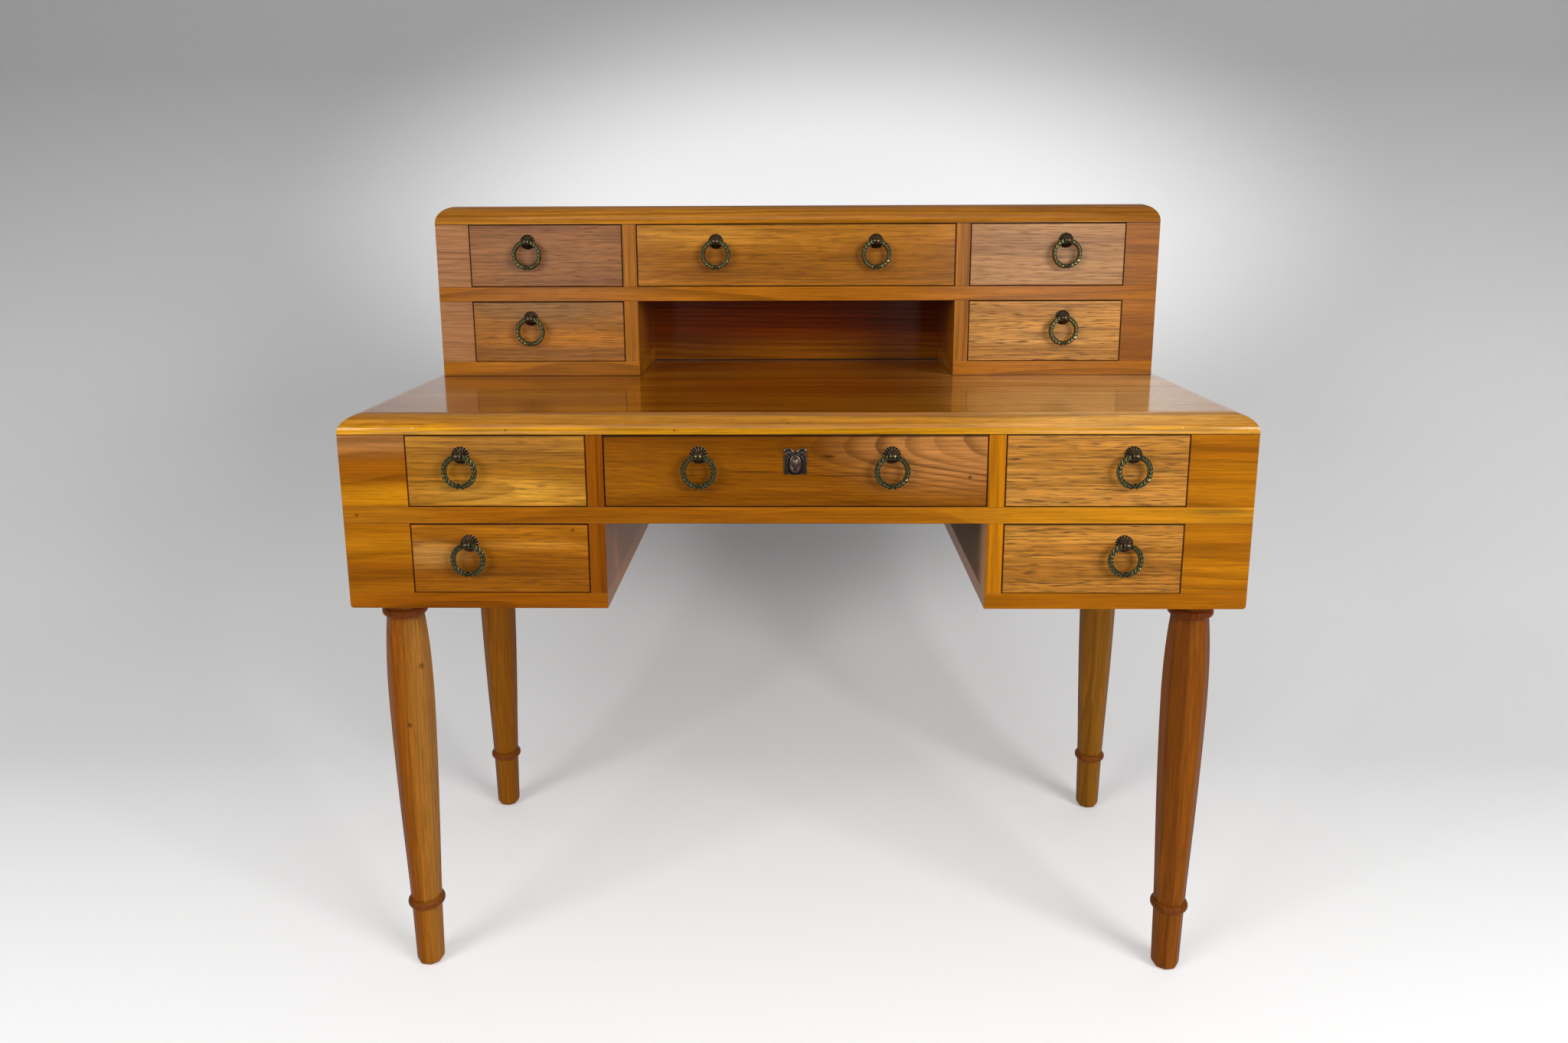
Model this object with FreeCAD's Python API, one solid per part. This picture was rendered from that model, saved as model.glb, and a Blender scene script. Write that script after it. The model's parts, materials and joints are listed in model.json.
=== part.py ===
import FreeCAD
import Part
import math
import os

# Writing desk with a drawer gallery: a case of five drawers on four turned and faceted legs,
# a desktop with quarter-round edges, and a gallery of five drawers round an open niche.
# Millimetres. +Z is up, the drawers open towards -Y, and the origin is on the floor,
# under the middle of the whole desk with its ring pulls.

# Overall sizes of the case and the desktop
case_width = 1060.0
case_depth = 530.0
desktop_height = 750.0
desktop_thickness = 22.0
desktop_edge_run = 27.0

# Front frame of the case, from the top down
case_upper_opening = 86.0
case_rail_height = 20.0
case_lower_opening = 85.0
case_bottom_thickness = 19.0
case_end_block_width = 77.5
case_lower_corner_radius = 4.0

# Sheets and partitions shared by the case and the gallery
centre_opening_width = 445.0
divider_thickness = 19.5
side_thickness = 20.0
frame_depth = 24.0
back_thickness = 10.0
edge_lip_height = 1.5
edge_steps = 6
guide_thickness = 12.0
guide_height = 18.0

# Gallery on the desktop
gallery_side_inset = 27.5
gallery_depth = 202.0
gallery_upper_opening = 86.5
gallery_rail_height = 20.0
gallery_lower_opening = 85.5
gallery_base_thickness = 20.5
gallery_top_thickness = 24.5
gallery_top_run = 25.0
gallery_end_block_width = 46.0
gallery_back_inset = 10.0
gallery_back_floor_gap = 1.0

# Legs
leg_inset_x = 42.0
leg_front_inset = 64.0
leg_back_inset = 46.0
leg_width = 52.0
leg_corner_radius = 5.0
leg_shoulder_diameter = 50.0
leg_shoulder_height = 17.0
leg_collar_diameter = 55.0
leg_collar_height = 11.5
leg_ring_diameter = 47.0
leg_ring_thickness = 12.0
leg_ring_height = 86.0
leg_facets = 8
leg_turn_degrees = 9.0
foot_top_width = 36.0
foot_end_width = 33.0
foot_tip_radius = 9.0
foot_tip_steps = 4

# Leg swell: shares of the shaft's height from the bead up, and of the leg's full width there
shaft_height_shares = (0.0, 0.2, 0.4, 0.6, 0.77, 0.9, 1.0)
shaft_width_shares = (0.71, 0.81, 0.91, 0.98, 1.0, 0.935, 0.81)

# Drawers
drawer_gap = 1.0
drawer_running_gap = 0.3
drawer_front_thickness = 18.0
drawer_side_thickness = 9.0
drawer_bottom_thickness = 5.0
drawer_bottom_lift = 7.0
drawer_side_drop = 6.0
drawer_edge_radius = 0.8
case_drawer_back_room = 50.0
gallery_drawer_back_room = 12.0

# Ring pulls: how far in from the drawer's outer edge, and how far down, as shares of its front
case_pull_share = 0.31
case_lower_pull_share = 0.33
gallery_pull_share = 0.385
centre_pull_shares = (0.25, 0.75)
pull_drop_share = 0.28
rosette_diameter = 21.0
rosette_thickness = 3.5
rosette_edge_radius = 1.5
rosette_neck_diameter = 7.0
eye_standoff = 10.0
eye_diameter = 12.0
eye_width = 6.0
ring_outer_diameter = 41.5
ring_wire_diameter = 6.2
ring_eye_clearance = 0.7

# Lock of the middle case drawer, with its ribbon escutcheon and swinging cover
escutcheon_width = 27.0
escutcheon_height = 34.0
escutcheon_thickness = 2.0
escutcheon_drop_share = 0.36
bow_loop_diameter = 13.0
tail_width = 6.5
cover_width = 13.5
cover_height = 20.0
cover_thickness = 2.2
cover_gap = 0.4
cover_pin_diameter = 2.4
cover_pin_clearance = 0.05
cover_pin_head = 3.6
cover_pin_head_thickness = 0.8
keyhole_diameter = 5.0
keyhole_slit_width = 2.2
keyhole_slit_length = 6.0
lock_width = 60.0
lock_height = 42.0
lock_thickness = 12.0
lock_top_drop = 3.0
bolt_width = 24.0
bolt_thickness = 5.0
bolt_height = 22.0
bolt_travel = 8.0
bolt_clearance = 0.3
mortise_clearance = 1.5
cut_overrun = 1.0

# Levels and lines that follow from the sizes above
pull_reach = eye_standoff + eye_diameter / 2
front_y = (pull_reach - case_depth) / 2
back_y = front_y + case_depth
half_width = case_width / 2
side_inner = half_width - side_thickness
centre_half = centre_opening_width / 2
divider_outer = centre_half + divider_thickness
case_top_z = desktop_height - desktop_thickness
case_rail_top_z = case_top_z - case_upper_opening
case_rail_z = case_rail_top_z - case_rail_height
case_floor_z = case_rail_z - case_lower_opening
case_bottom_z = case_floor_z - case_bottom_thickness
case_opening_outer = half_width - case_end_block_width
case_back_y = back_y - back_thickness
case_drawer_length = case_depth - back_thickness - case_drawer_back_room

gallery_half = half_width - gallery_side_inset
gallery_side_inner = gallery_half - side_thickness
gallery_front_y = back_y - gallery_depth
gallery_floor_z = desktop_height + gallery_base_thickness
gallery_rail_z = gallery_floor_z + gallery_lower_opening
gallery_rail_top_z = gallery_rail_z + gallery_rail_height
gallery_case_top_z = gallery_rail_top_z + gallery_upper_opening
gallery_top_z = gallery_case_top_z + gallery_top_thickness
gallery_opening_outer = gallery_half - gallery_end_block_width
gallery_back_face_y = back_y - gallery_back_inset - back_thickness
gallery_drawer_length = gallery_back_face_y - gallery_front_y - gallery_drawer_back_room

ring_radius = (ring_outer_diameter - ring_wire_diameter) / 2
lock_z = case_top_z - drawer_gap - lock_top_drop
lock_y = front_y + drawer_front_thickness
bolt_y = lock_y + (lock_thickness - bolt_thickness) / 2

X_AXIS = FreeCAD.Vector(1, 0, 0)
Y_AXIS = FreeCAD.Vector(0, 1, 0)
Z_AXIS = FreeCAD.Vector(0, 0, 1)
SIDES = {"left": -1, "right": 1}
nodes = {}


def box(x0, x1, y0, y1, z0, z1):
    """A box between two corners, given axis by axis in either order."""
    low = FreeCAD.Vector(min(x0, x1), min(y0, y1), min(z0, z1))
    return Part.makeBox(abs(x1 - x0), abs(y1 - y0), abs(z1 - z0), low)


def fuse_all(shapes):
    """One solid from shapes that meet face to face."""
    return shapes[0].multiFuse(shapes[1:]).removeSplitter()


def group(shapes):
    """Separate solids that share one node."""
    return Part.makeCompound(shapes)


def edges_where(shape, test):
    """The edges that pass a test of their middle point and themselves."""
    return [edge for edge in shape.Edges if test(edge.CenterOfMass, edge)]


def is_near(a, b):
    return math.isclose(a, b, abs_tol=1e-6)


def edge_curve(start, end):
    """A quarter of an ellipse, upright at its start and level at its end."""
    across = FreeCAD.Vector(end.x - start.x, end.y - start.y, 0)
    rise = FreeCAD.Vector(0, 0, end.z - start.z)
    points = []
    for step in range(edge_steps + 1):
        angle = math.pi / 2 * step / edge_steps
        points.append(start + across * (1 - math.cos(angle)) + rise * math.sin(angle))
    curve = Part.BSplineCurve()
    curve.interpolate(points, InitialTangent=rise, FinalTangent=across)
    return curve.toShape()


def swept_profile(corners, rounds, sweep):
    """Sweeps a closed outline: straight from corner to corner, or an edge curve where rounds says so."""
    edges = []
    for index, start in enumerate(corners):
        end = corners[(index + 1) % len(corners)]
        if index in rounds:
            edges.append(edge_curve(start, end) if start.z < end.z else edge_curve(end, start))
        else:
            edges.append(Part.makeLine(start, end))
    return Part.Face(Part.Wire(edges)).extrude(sweep)


def rounded_slab(half, y0, y1, z0, z1, run):
    """A top board whose front, left and right edges are quarter-rounds that meet in mitres."""
    lip_z = z0 + edge_lip_height
    lengthwise = swept_profile(
        [
            FreeCAD.Vector(-half, y1, z0), FreeCAD.Vector(-half, y0, z0),
            FreeCAD.Vector(-half, y0, lip_z), FreeCAD.Vector(-half, y0 + run, z1),
            FreeCAD.Vector(-half, y1, z1),
        ],
        {2}, X_AXIS * (2 * half),
    )
    crosswise = swept_profile(
        [
            FreeCAD.Vector(half, y0, z0), FreeCAD.Vector(half, y0, lip_z),
            FreeCAD.Vector(half - run, y0, z1), FreeCAD.Vector(run - half, y0, z1),
            FreeCAD.Vector(-half, y0, lip_z), FreeCAD.Vector(-half, y0, z0),
        ],
        {1, 3}, Y_AXIS * (y1 - y0),
    )
    return lengthwise.common(crosswise)


def stepped_board(x_front, x_behind, x_end, y0, y_step, y1, z0, z1):
    """A board with a front lip out to x_front, and narrower behind, where it runs between the sides."""
    lip = box(x_front, x_end, y0, y_step, z0, z1)
    behind = box(x_behind, x_end, y_step, y1, z0, z1)
    return fuse_all([lip, behind])


# Desktop, with the mortise that the lock's bolt rises into
desktop = rounded_slab(half_width, front_y, back_y, case_top_z, desktop_height, desktop_edge_run)
mortise_half = bolt_width / 2 + mortise_clearance
mortise = box(
    -mortise_half, mortise_half,
    bolt_y - mortise_clearance, bolt_y + bolt_thickness + mortise_clearance,
    case_top_z - cut_overrun, case_top_z + bolt_travel + mortise_clearance,
)
nodes["desktop"] = desktop.cut(mortise)

# Case sides and the drawer guides along them
case_guides = []
for side, sign in SIDES.items():
    panel = box(
        sign * side_inner, sign * half_width,
        front_y + frame_depth, back_y, case_bottom_z, case_top_z,
    )

    def is_outer_foot(middle, edge):
        return is_near(middle.z, case_bottom_z) and is_near(middle.x, sign * half_width)

    nodes["case_%s_side" % side] = panel.makeFillet(
        case_lower_corner_radius, edges_where(panel, is_outer_foot)
    )
    for floor_z in (case_floor_z, case_rail_top_z):
        case_guides.append(box(
            sign * case_opening_outer, sign * (case_opening_outer + guide_thickness),
            front_y + frame_depth, case_back_y, floor_z, floor_z + guide_height,
        ))
nodes["case_drawer_guides"] = group(case_guides)

# Front end blocks of the case, over and under the rail
end_blocks = []
for sign in SIDES.values():
    for z0, z1 in ((case_floor_z, case_rail_z), (case_rail_top_z, case_top_z)):
        end_blocks.append(box(
            sign * case_opening_outer, sign * half_width,
            front_y, front_y + frame_depth, z0, z1,
        ))
nodes["case_end_blocks"] = group(end_blocks)

# Rail board between the two tiers: its front edge is the rail, and the upper drawers run on it
rail_halves = []
for sign in SIDES.values():
    rail_halves.append(stepped_board(
        sign * half_width, sign * side_inner, 0,
        front_y, front_y + frame_depth, case_back_y, case_rail_z, case_rail_top_z,
    ))
nodes["case_rail_board"] = fuse_all(rail_halves)

# Bottom boards of the two pedestals
bottoms = []
for sign in SIDES.values():
    bottom = stepped_board(
        sign * half_width, sign * side_inner, sign * centre_half,
        front_y, front_y + frame_depth, case_back_y, case_bottom_z, case_floor_z,
    )

    def is_lip_foot(middle, edge):
        return is_near(middle.z, case_bottom_z) and is_near(middle.x, sign * half_width)

    bottoms.append(bottom.makeFillet(case_lower_corner_radius, edges_where(bottom, is_lip_foot)))
nodes["case_bottom_boards"] = group(bottoms)

# Partitions beside the middle drawer, and the inner walls of the pedestals under them
for side, sign in SIDES.items():
    nodes["case_%s_partitions" % side] = group([
        box(sign * centre_half, sign * divider_outer, front_y, case_back_y, z0, z1)
        for z0, z1 in ((case_floor_z, case_rail_z), (case_rail_top_z, case_top_z))
    ])

# Back panels: one behind the upper tier, and one behind each pedestal, so the knee-hole stays open
back_panels = [box(-side_inner, side_inner, case_back_y, back_y, case_rail_z, case_top_z)]
for sign in SIDES.values():
    back_panels.append(
        box(sign * centre_half, sign * side_inner, case_back_y, back_y, case_bottom_z, case_rail_z)
    )
nodes["case_back_panels"] = group(back_panels)


def facet_wire(width, z):
    """Eight flats with softened corners, one flat towards each of the four sides."""
    half = width / 2
    radius = leg_corner_radius * width / leg_width
    turn = 2 * math.pi / leg_facets
    flat_half = half * math.tan(turn / 2) - radius * math.tan(turn / 2)
    corner_centre = (half - radius) / math.cos(turn / 2)
    edges = []
    for index in range(leg_facets):
        facing = index * turn
        normal = FreeCAD.Vector(math.cos(facing), math.sin(facing), 0)
        along = FreeCAD.Vector(-math.sin(facing), math.cos(facing), 0)
        corner = FreeCAD.Vector(math.cos(facing + turn / 2), math.sin(facing + turn / 2), 0)
        next_normal = FreeCAD.Vector(math.cos(facing + turn), math.sin(facing + turn), 0)
        level = FreeCAD.Vector(0, 0, z)
        start = level + normal * half - along * flat_half
        end = level + normal * half + along * flat_half
        knuckle = level + corner * (corner_centre + radius)
        next_start = level + corner * corner_centre + next_normal * radius
        edges.append(Part.makeLine(start, end))
        edges.append(Part.Arc(end, knuckle, next_start).toShape())
    return Part.Wire(edges)


def leg_shaft(z0, z1):
    """The faceted shaft, which swells along its height."""
    wires = []
    for height_share, width_share in zip(shaft_height_shares, shaft_width_shares):
        wires.append(facet_wire(leg_width * width_share, z0 + (z1 - z0) * height_share))
    return Part.makeLoft(wires, True, False)


def leg_foot(z1):
    """The faceted foot: a slow taper that ends in a rounded tip."""
    wires = []
    for step in range(foot_tip_steps + 1):
        angle = math.pi / 2 * step / foot_tip_steps
        width = foot_end_width - 2 * foot_tip_radius * (1 - math.sin(angle))
        wires.append(facet_wire(width, foot_tip_radius * (1 - math.cos(angle))))
    wires.append(facet_wire(foot_top_width, z1))
    return Part.makeLoft(wires, True, True)


def turned_ring(diameter, thickness, z0):
    """A turned bead: a disc whose rim is nearly a half-round."""
    disc = Part.makeCylinder(diameter / 2, thickness, FreeCAD.Vector(0, 0, z0))
    rims = edges_where(disc, lambda middle, edge: edge.Curve.TypeId == "Part::GeomCircle")
    rim_share = 0.45
    return disc.makeFillet(thickness * rim_share, rims)


# Legs: foot, bead, swelling shaft, collar and a round shoulder, all of one piece, glued under the case.
# Those on the left and right are turned a little, opposite ways.
shoulder_z = case_bottom_z - leg_shoulder_height
collar_z = shoulder_z - leg_collar_height
shaft_z = leg_ring_height + leg_ring_thickness
leg = fuse_all([
    leg_foot(leg_ring_height),
    turned_ring(leg_ring_diameter, leg_ring_thickness, leg_ring_height),
    leg_shaft(shaft_z, collar_z),
    turned_ring(leg_collar_diameter, leg_collar_height, collar_z),
    Part.makeCylinder(leg_shoulder_diameter / 2, leg_shoulder_height, FreeCAD.Vector(0, 0, shoulder_z)),
])
leg_rows = {"front": front_y + leg_front_inset, "back": back_y - leg_back_inset}
for row, leg_y in leg_rows.items():
    for side, sign in SIDES.items():
        placed = leg.copy()
        placed.rotate(FreeCAD.Vector(0, 0, 0), Z_AXIS, sign * leg_turn_degrees)
        placed.translate(FreeCAD.Vector(sign * (half_width - leg_inset_x), leg_y, 0))
        nodes["leg_%s_%s" % (row, side)] = placed

# Gallery top
nodes["gallery_top"] = rounded_slab(
    gallery_half, gallery_front_y, back_y, gallery_case_top_z, gallery_top_z, gallery_top_run
)

# Gallery sides, end blocks, drawer guides and base boards
gallery_blocks = []
gallery_guides = []
gallery_bases = []
for side, sign in SIDES.items():
    nodes["gallery_%s_side" % side] = box(
        sign * gallery_side_inner, sign * gallery_half,
        gallery_front_y + frame_depth, back_y, desktop_height, gallery_case_top_z,
    )
    for z0, z1 in ((gallery_floor_z, gallery_rail_z), (gallery_rail_top_z, gallery_case_top_z)):
        gallery_blocks.append(box(
            sign * gallery_opening_outer, sign * gallery_half,
            gallery_front_y, gallery_front_y + frame_depth, z0, z1,
        ))
        gallery_guides.append(box(
            sign * gallery_opening_outer, sign * (gallery_opening_outer + guide_thickness),
            gallery_front_y + frame_depth, gallery_back_face_y, z0, z0 + guide_height,
        ))
    gallery_bases.append(stepped_board(
        sign * gallery_half, sign * gallery_side_inner, sign * centre_half,
        gallery_front_y, gallery_front_y + frame_depth, gallery_back_face_y,
        desktop_height, gallery_floor_z,
    ))
nodes["gallery_end_blocks"] = group(gallery_blocks)
nodes["gallery_drawer_guides"] = group(gallery_guides)
nodes["gallery_base_boards"] = group(gallery_bases)

# Gallery rail board, which is also the ceiling of the niche
gallery_rail_halves = []
for sign in SIDES.values():
    gallery_rail_halves.append(stepped_board(
        sign * gallery_half, sign * gallery_side_inner, 0,
        gallery_front_y, gallery_front_y + frame_depth, gallery_back_face_y,
        gallery_rail_z, gallery_rail_top_z,
    ))
nodes["gallery_rail_board"] = fuse_all(gallery_rail_halves)

# Gallery partitions and niche walls
for side, sign in SIDES.items():
    nodes["gallery_%s_partitions" % side] = group([
        box(sign * centre_half, sign * divider_outer, gallery_front_y, gallery_back_face_y, z0, z1)
        for z0, z1 in ((gallery_floor_z, gallery_rail_z), (gallery_rail_top_z, gallery_case_top_z))
    ])

# Gallery back, held clear of the desktop
nodes["gallery_back_panel"] = box(
    -gallery_side_inner, gallery_side_inner,
    gallery_back_face_y, gallery_back_face_y + back_thickness,
    desktop_height + gallery_back_floor_gap, gallery_case_top_z,
)


def drawer_solids(x0, x1, face_y, z0, z1, length):
    """Front, two sides, back and bottom of one drawer, in the opening from x0 to x1 and z0 to z1."""
    left = x0 + drawer_gap
    right = x1 - drawer_gap
    behind = face_y + drawer_front_thickness
    end = face_y + length
    low = z0 + drawer_running_gap
    high = z1 - drawer_gap - drawer_side_drop
    front = box(left, right, face_y, behind, z0 + drawer_gap, z1 - drawer_gap)
    front = front.makeFillet(
        drawer_edge_radius, edges_where(front, lambda middle, edge: is_near(middle.y, face_y))
    )
    floor_z = low + drawer_bottom_lift
    inner_left = left + drawer_side_thickness
    inner_right = right - drawer_side_thickness
    back_y0 = end - drawer_side_thickness
    return [
        front,
        box(left, inner_left, behind, end, low, high),
        box(inner_right, right, behind, end, low, high),
        box(inner_left, inner_right, back_y0, end, low, high),
        box(inner_left, inner_right, behind, back_y0, floor_z, floor_z + drawer_bottom_thickness),
    ]


def rosette(x, face_y, z):
    """Round back plate with an eye standing out of it, bored crosswise for the ring."""
    plate_centre = FreeCAD.Vector(x, face_y, z)
    plate = Part.makeCylinder(rosette_diameter / 2, rosette_thickness, plate_centre, -Y_AXIS)
    rim_y = face_y - rosette_thickness
    plate = plate.makeFillet(
        rosette_edge_radius, edges_where(plate, lambda middle, edge: is_near(middle.y, rim_y))
    )
    pivot_y = face_y - eye_standoff
    neck = Part.makeCylinder(rosette_neck_diameter / 2, eye_standoff, plate_centre, -Y_AXIS)
    eye_end = FreeCAD.Vector(x - eye_width / 2, pivot_y, z)
    eye = Part.makeCylinder(eye_diameter / 2, eye_width, eye_end, X_AXIS)
    hole_radius = ring_wire_diameter / 2 + ring_eye_clearance
    hole_end = FreeCAD.Vector(x - rosette_diameter / 2, pivot_y, z)
    hole = Part.makeCylinder(hole_radius, rosette_diameter, hole_end, X_AXIS)
    return fuse_all([plate, neck, eye]).cut(hole)


def ring(x, face_y, z):
    """The pull's ring, hanging from the eye."""
    centre = FreeCAD.Vector(x, face_y - eye_standoff, z - ring_radius)
    return Part.makeTorus(ring_radius, ring_wire_diameter / 2, centre, Y_AXIS)


def keyhole(y0, y1, z):
    """Round hole with a slit under it, right through from y0 to y1."""
    depth = y1 - y0
    hole = Part.makeCylinder(keyhole_diameter / 2, depth, FreeCAD.Vector(0, y0, z), Y_AXIS)
    slit_half = keyhole_slit_width / 2
    slit = box(-slit_half, slit_half, y0, y1, z - keyhole_slit_length, z)
    return hole.fuse(slit)


# Drawers with their rosettes and rings
tiers = {
    "case_upper": (case_rail_top_z, case_top_z),
    "case_lower": (case_floor_z, case_rail_z),
    "gallery_upper": (gallery_rail_top_z, gallery_case_top_z),
    "gallery_lower": (gallery_floor_z, gallery_rail_z),
}
drawers = {}
for tier, (z0, z1) in tiers.items():
    in_case = tier.startswith("case")
    outer = case_opening_outer if in_case else gallery_opening_outer
    face_y = front_y if in_case else gallery_front_y
    length = case_drawer_length if in_case else gallery_drawer_length
    edge_share = case_pull_share if in_case else gallery_pull_share
    if tier == "case_lower":
        edge_share = case_lower_pull_share
    openings = {
        "%s_left_drawer" % tier: (-outer, -divider_outer, (edge_share,)),
        "%s_right_drawer" % tier: (divider_outer, outer, (1 - edge_share,)),
    }
    if tier.endswith("upper"):
        centre_name = "%s_centre_drawer" % tier.split("_")[0]
        openings[centre_name] = (-centre_half, centre_half, centre_pull_shares)
    for name, (x0, x1, pull_shares) in openings.items():
        pull_z = z1 - (z1 - z0) * pull_drop_share
        pull_xs = [x0 + (x1 - x0) * share for share in pull_shares]
        drawers[name] = (x0, x1, face_y, z0, z1, length, pull_xs, pull_z)

keyhole_z = case_top_z - case_upper_opening * escutcheon_drop_share
for name, (x0, x1, face_y, z0, z1, length, pull_xs, pull_z) in drawers.items():
    solids = drawer_solids(x0, x1, face_y, z0, z1, length)
    if name == "case_centre_drawer":
        solids[0] = solids[0].cut(keyhole(face_y - cut_overrun, lock_y + cut_overrun, keyhole_z))
    nodes[name] = group(solids)
    stem = name.replace("_drawer", "")
    nodes["%s_rosette" % stem] = group([rosette(x, face_y, pull_z) for x in pull_xs])
    for index, x in enumerate(pull_xs):
        ring_name = "%s_ring" % stem if len(pull_xs) == 1 else "%s_ring_%s" % (stem, list(SIDES)[index])
        nodes[ring_name] = ring(x, face_y, pull_z)


def oval_plate(width, height, thickness, y, z):
    """An upright oval plate whose back is at y."""
    oval = Part.Ellipse(FreeCAD.Vector(0, 0, 0), height / 2, width / 2)
    face = Part.Face(Part.Wire([oval.toShape()]))
    face.rotate(FreeCAD.Vector(0, 0, 0), Z_AXIS, 90)
    face.rotate(FreeCAD.Vector(0, 0, 0), X_AXIS, 90)
    face.translate(FreeCAD.Vector(0, y, z))
    return face.extrude(-Y_AXIS * thickness)


# Escutcheon: an oval plate round the keyhole, the two loops of a bow over it and a tail at each side
plate_y = front_y - escutcheon_thickness
bow_top_z = keyhole_z + escutcheon_height / 2
tail_foot_z = keyhole_z - escutcheon_height / 2
loop_z = bow_top_z - bow_loop_diameter / 2
loop_x = (escutcheon_width - bow_loop_diameter) / 2
cover_margin = (escutcheon_width - cover_width) / 2 - tail_width + escutcheon_thickness
plate_width = cover_width + cover_margin * 2
plate_height = bow_top_z - bow_loop_diameter / 2 - tail_foot_z
plate_z = tail_foot_z + plate_height / 2
pieces = [oval_plate(plate_width, plate_height, escutcheon_thickness, front_y, plate_z)]
for sign in SIDES.values():
    loop_centre = FreeCAD.Vector(sign * loop_x, front_y, loop_z)
    pieces.append(Part.makeCylinder(bow_loop_diameter / 2, escutcheon_thickness, loop_centre, -Y_AXIS))
    tail_outer = escutcheon_width / 2
    pieces.append(box(
        sign * (tail_outer - tail_width), sign * tail_outer, plate_y, front_y, tail_foot_z, loop_z,
    ))
pin_z = plate_z + cover_height / 2 - cover_pin_head
cover_back_y = plate_y - cover_gap
head_y = cover_back_y - cover_thickness - cover_gap
pin_length = front_y - head_y
pin_root = FreeCAD.Vector(0, front_y, pin_z)
pieces.append(Part.makeCylinder(cover_pin_diameter / 2, pin_length, pin_root, -Y_AXIS))
head_root = FreeCAD.Vector(0, head_y, pin_z)
pieces.append(Part.makeCylinder(cover_pin_head / 2, cover_pin_head_thickness, head_root, -Y_AXIS))
escutcheon = fuse_all(pieces)
nodes["escutcheon"] = escutcheon.cut(keyhole(plate_y - cut_overrun, front_y + cut_overrun, keyhole_z))

# Keyhole cover, an oval drop that swings on the escutcheon's pin
cover = oval_plate(cover_width, cover_height, cover_thickness, cover_back_y, plate_z)
pin_hole = Part.makeCylinder(
    cover_pin_diameter / 2 + cover_pin_clearance, pin_length, pin_root, -Y_AXIS
)
nodes["keyhole_cover"] = cover.cut(pin_hole)

# Drawer lock behind the front: a case with a slot in its top, and the bolt that rises from the slot
lock_case = box(-lock_width / 2, lock_width / 2, lock_y, lock_y + lock_thickness, lock_z - lock_height, lock_z)
slot_half = bolt_width / 2 + bolt_clearance
bolt_z = lock_z - bolt_height
slot = box(
    -slot_half, slot_half, bolt_y - bolt_clearance, bolt_y + bolt_thickness + bolt_clearance,
    bolt_z - bolt_clearance, lock_z + cut_overrun,
)
key_way = keyhole(lock_y - cut_overrun, lock_y + lock_thickness / 2, keyhole_z)
nodes["lock_case"] = lock_case.cut(slot).cut(key_way)
nodes["lock_bolt"] = box(
    -bolt_width / 2, bolt_width / 2, bolt_y, bolt_y + bolt_thickness, bolt_z, lock_z
)

os.makedirs("parts", exist_ok=True)
for node_name, shape in nodes.items():
    shape.exportStep("parts/%s.step" % node_name)
    print(node_name, len(shape.Solids), round(shape.Volume), shape.isValid())
print(len(nodes), "nodes")
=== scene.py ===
import json
import math

import bmesh
import bpy
from mathutils import Matrix, Vector

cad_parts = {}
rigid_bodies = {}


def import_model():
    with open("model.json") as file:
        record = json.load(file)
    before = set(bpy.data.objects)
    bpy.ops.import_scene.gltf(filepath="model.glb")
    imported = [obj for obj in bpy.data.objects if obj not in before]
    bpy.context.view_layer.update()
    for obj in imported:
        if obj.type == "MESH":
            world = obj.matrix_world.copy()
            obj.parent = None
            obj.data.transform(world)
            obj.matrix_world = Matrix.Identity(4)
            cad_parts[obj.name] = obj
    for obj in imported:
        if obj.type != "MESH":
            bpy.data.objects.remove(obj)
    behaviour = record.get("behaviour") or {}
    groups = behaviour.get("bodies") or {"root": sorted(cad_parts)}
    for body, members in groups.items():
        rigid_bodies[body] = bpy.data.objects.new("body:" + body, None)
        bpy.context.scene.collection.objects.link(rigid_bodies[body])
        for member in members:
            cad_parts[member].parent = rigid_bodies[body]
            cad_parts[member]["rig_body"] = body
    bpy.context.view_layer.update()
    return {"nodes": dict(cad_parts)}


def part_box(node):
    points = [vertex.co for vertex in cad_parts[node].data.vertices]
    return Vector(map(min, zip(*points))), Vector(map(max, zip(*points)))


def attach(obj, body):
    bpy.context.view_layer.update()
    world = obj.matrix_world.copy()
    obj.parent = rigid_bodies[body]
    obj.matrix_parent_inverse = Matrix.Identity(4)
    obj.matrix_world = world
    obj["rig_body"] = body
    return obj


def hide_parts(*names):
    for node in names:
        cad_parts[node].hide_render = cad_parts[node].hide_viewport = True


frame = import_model()

# Case carcass
# Solid blond walnut: end blocks and rails with the grain running across the front, upright partitions
# between them, sides behind. The boards are glued up, then rubbed with many coats of amber shellac.
mm = 0.001
nodes = frame["nodes"]


def linear(hex_colour, share=1.0):
    """An sRGB hex value as a linear colour, darkened to a share of itself."""
    parts = [int(hex_colour[at:at + 2], 16) / 255 for at in (1, 3, 5)]
    parts = [part / 12.92 if part <= 0.04045 else ((part + 0.055) / 1.055) ** 2.4 for part in parts]
    return [part * share for part in parts] + [1.0]


def add(tree, kind, inputs=(), **settings):
    """Adds a shader node. Inputs maps a socket's name or number to its value, or to what feeds it."""
    made = tree.nodes.new("ShaderNode" + kind)
    for key, value in settings.items():
        setattr(made, key, value)
    for key, value in dict(inputs).items():
        if isinstance(value, bpy.types.NodeSocket):
            tree.links.new(value, made.inputs[key])
        else:
            made.inputs[key].default_value = value
    return made


def new_material(name):
    """An empty node material, with its tree."""
    material = bpy.data.materials.new(name)
    material.use_nodes = True
    material.node_tree.nodes.clear()
    return material, material.node_tree


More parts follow.
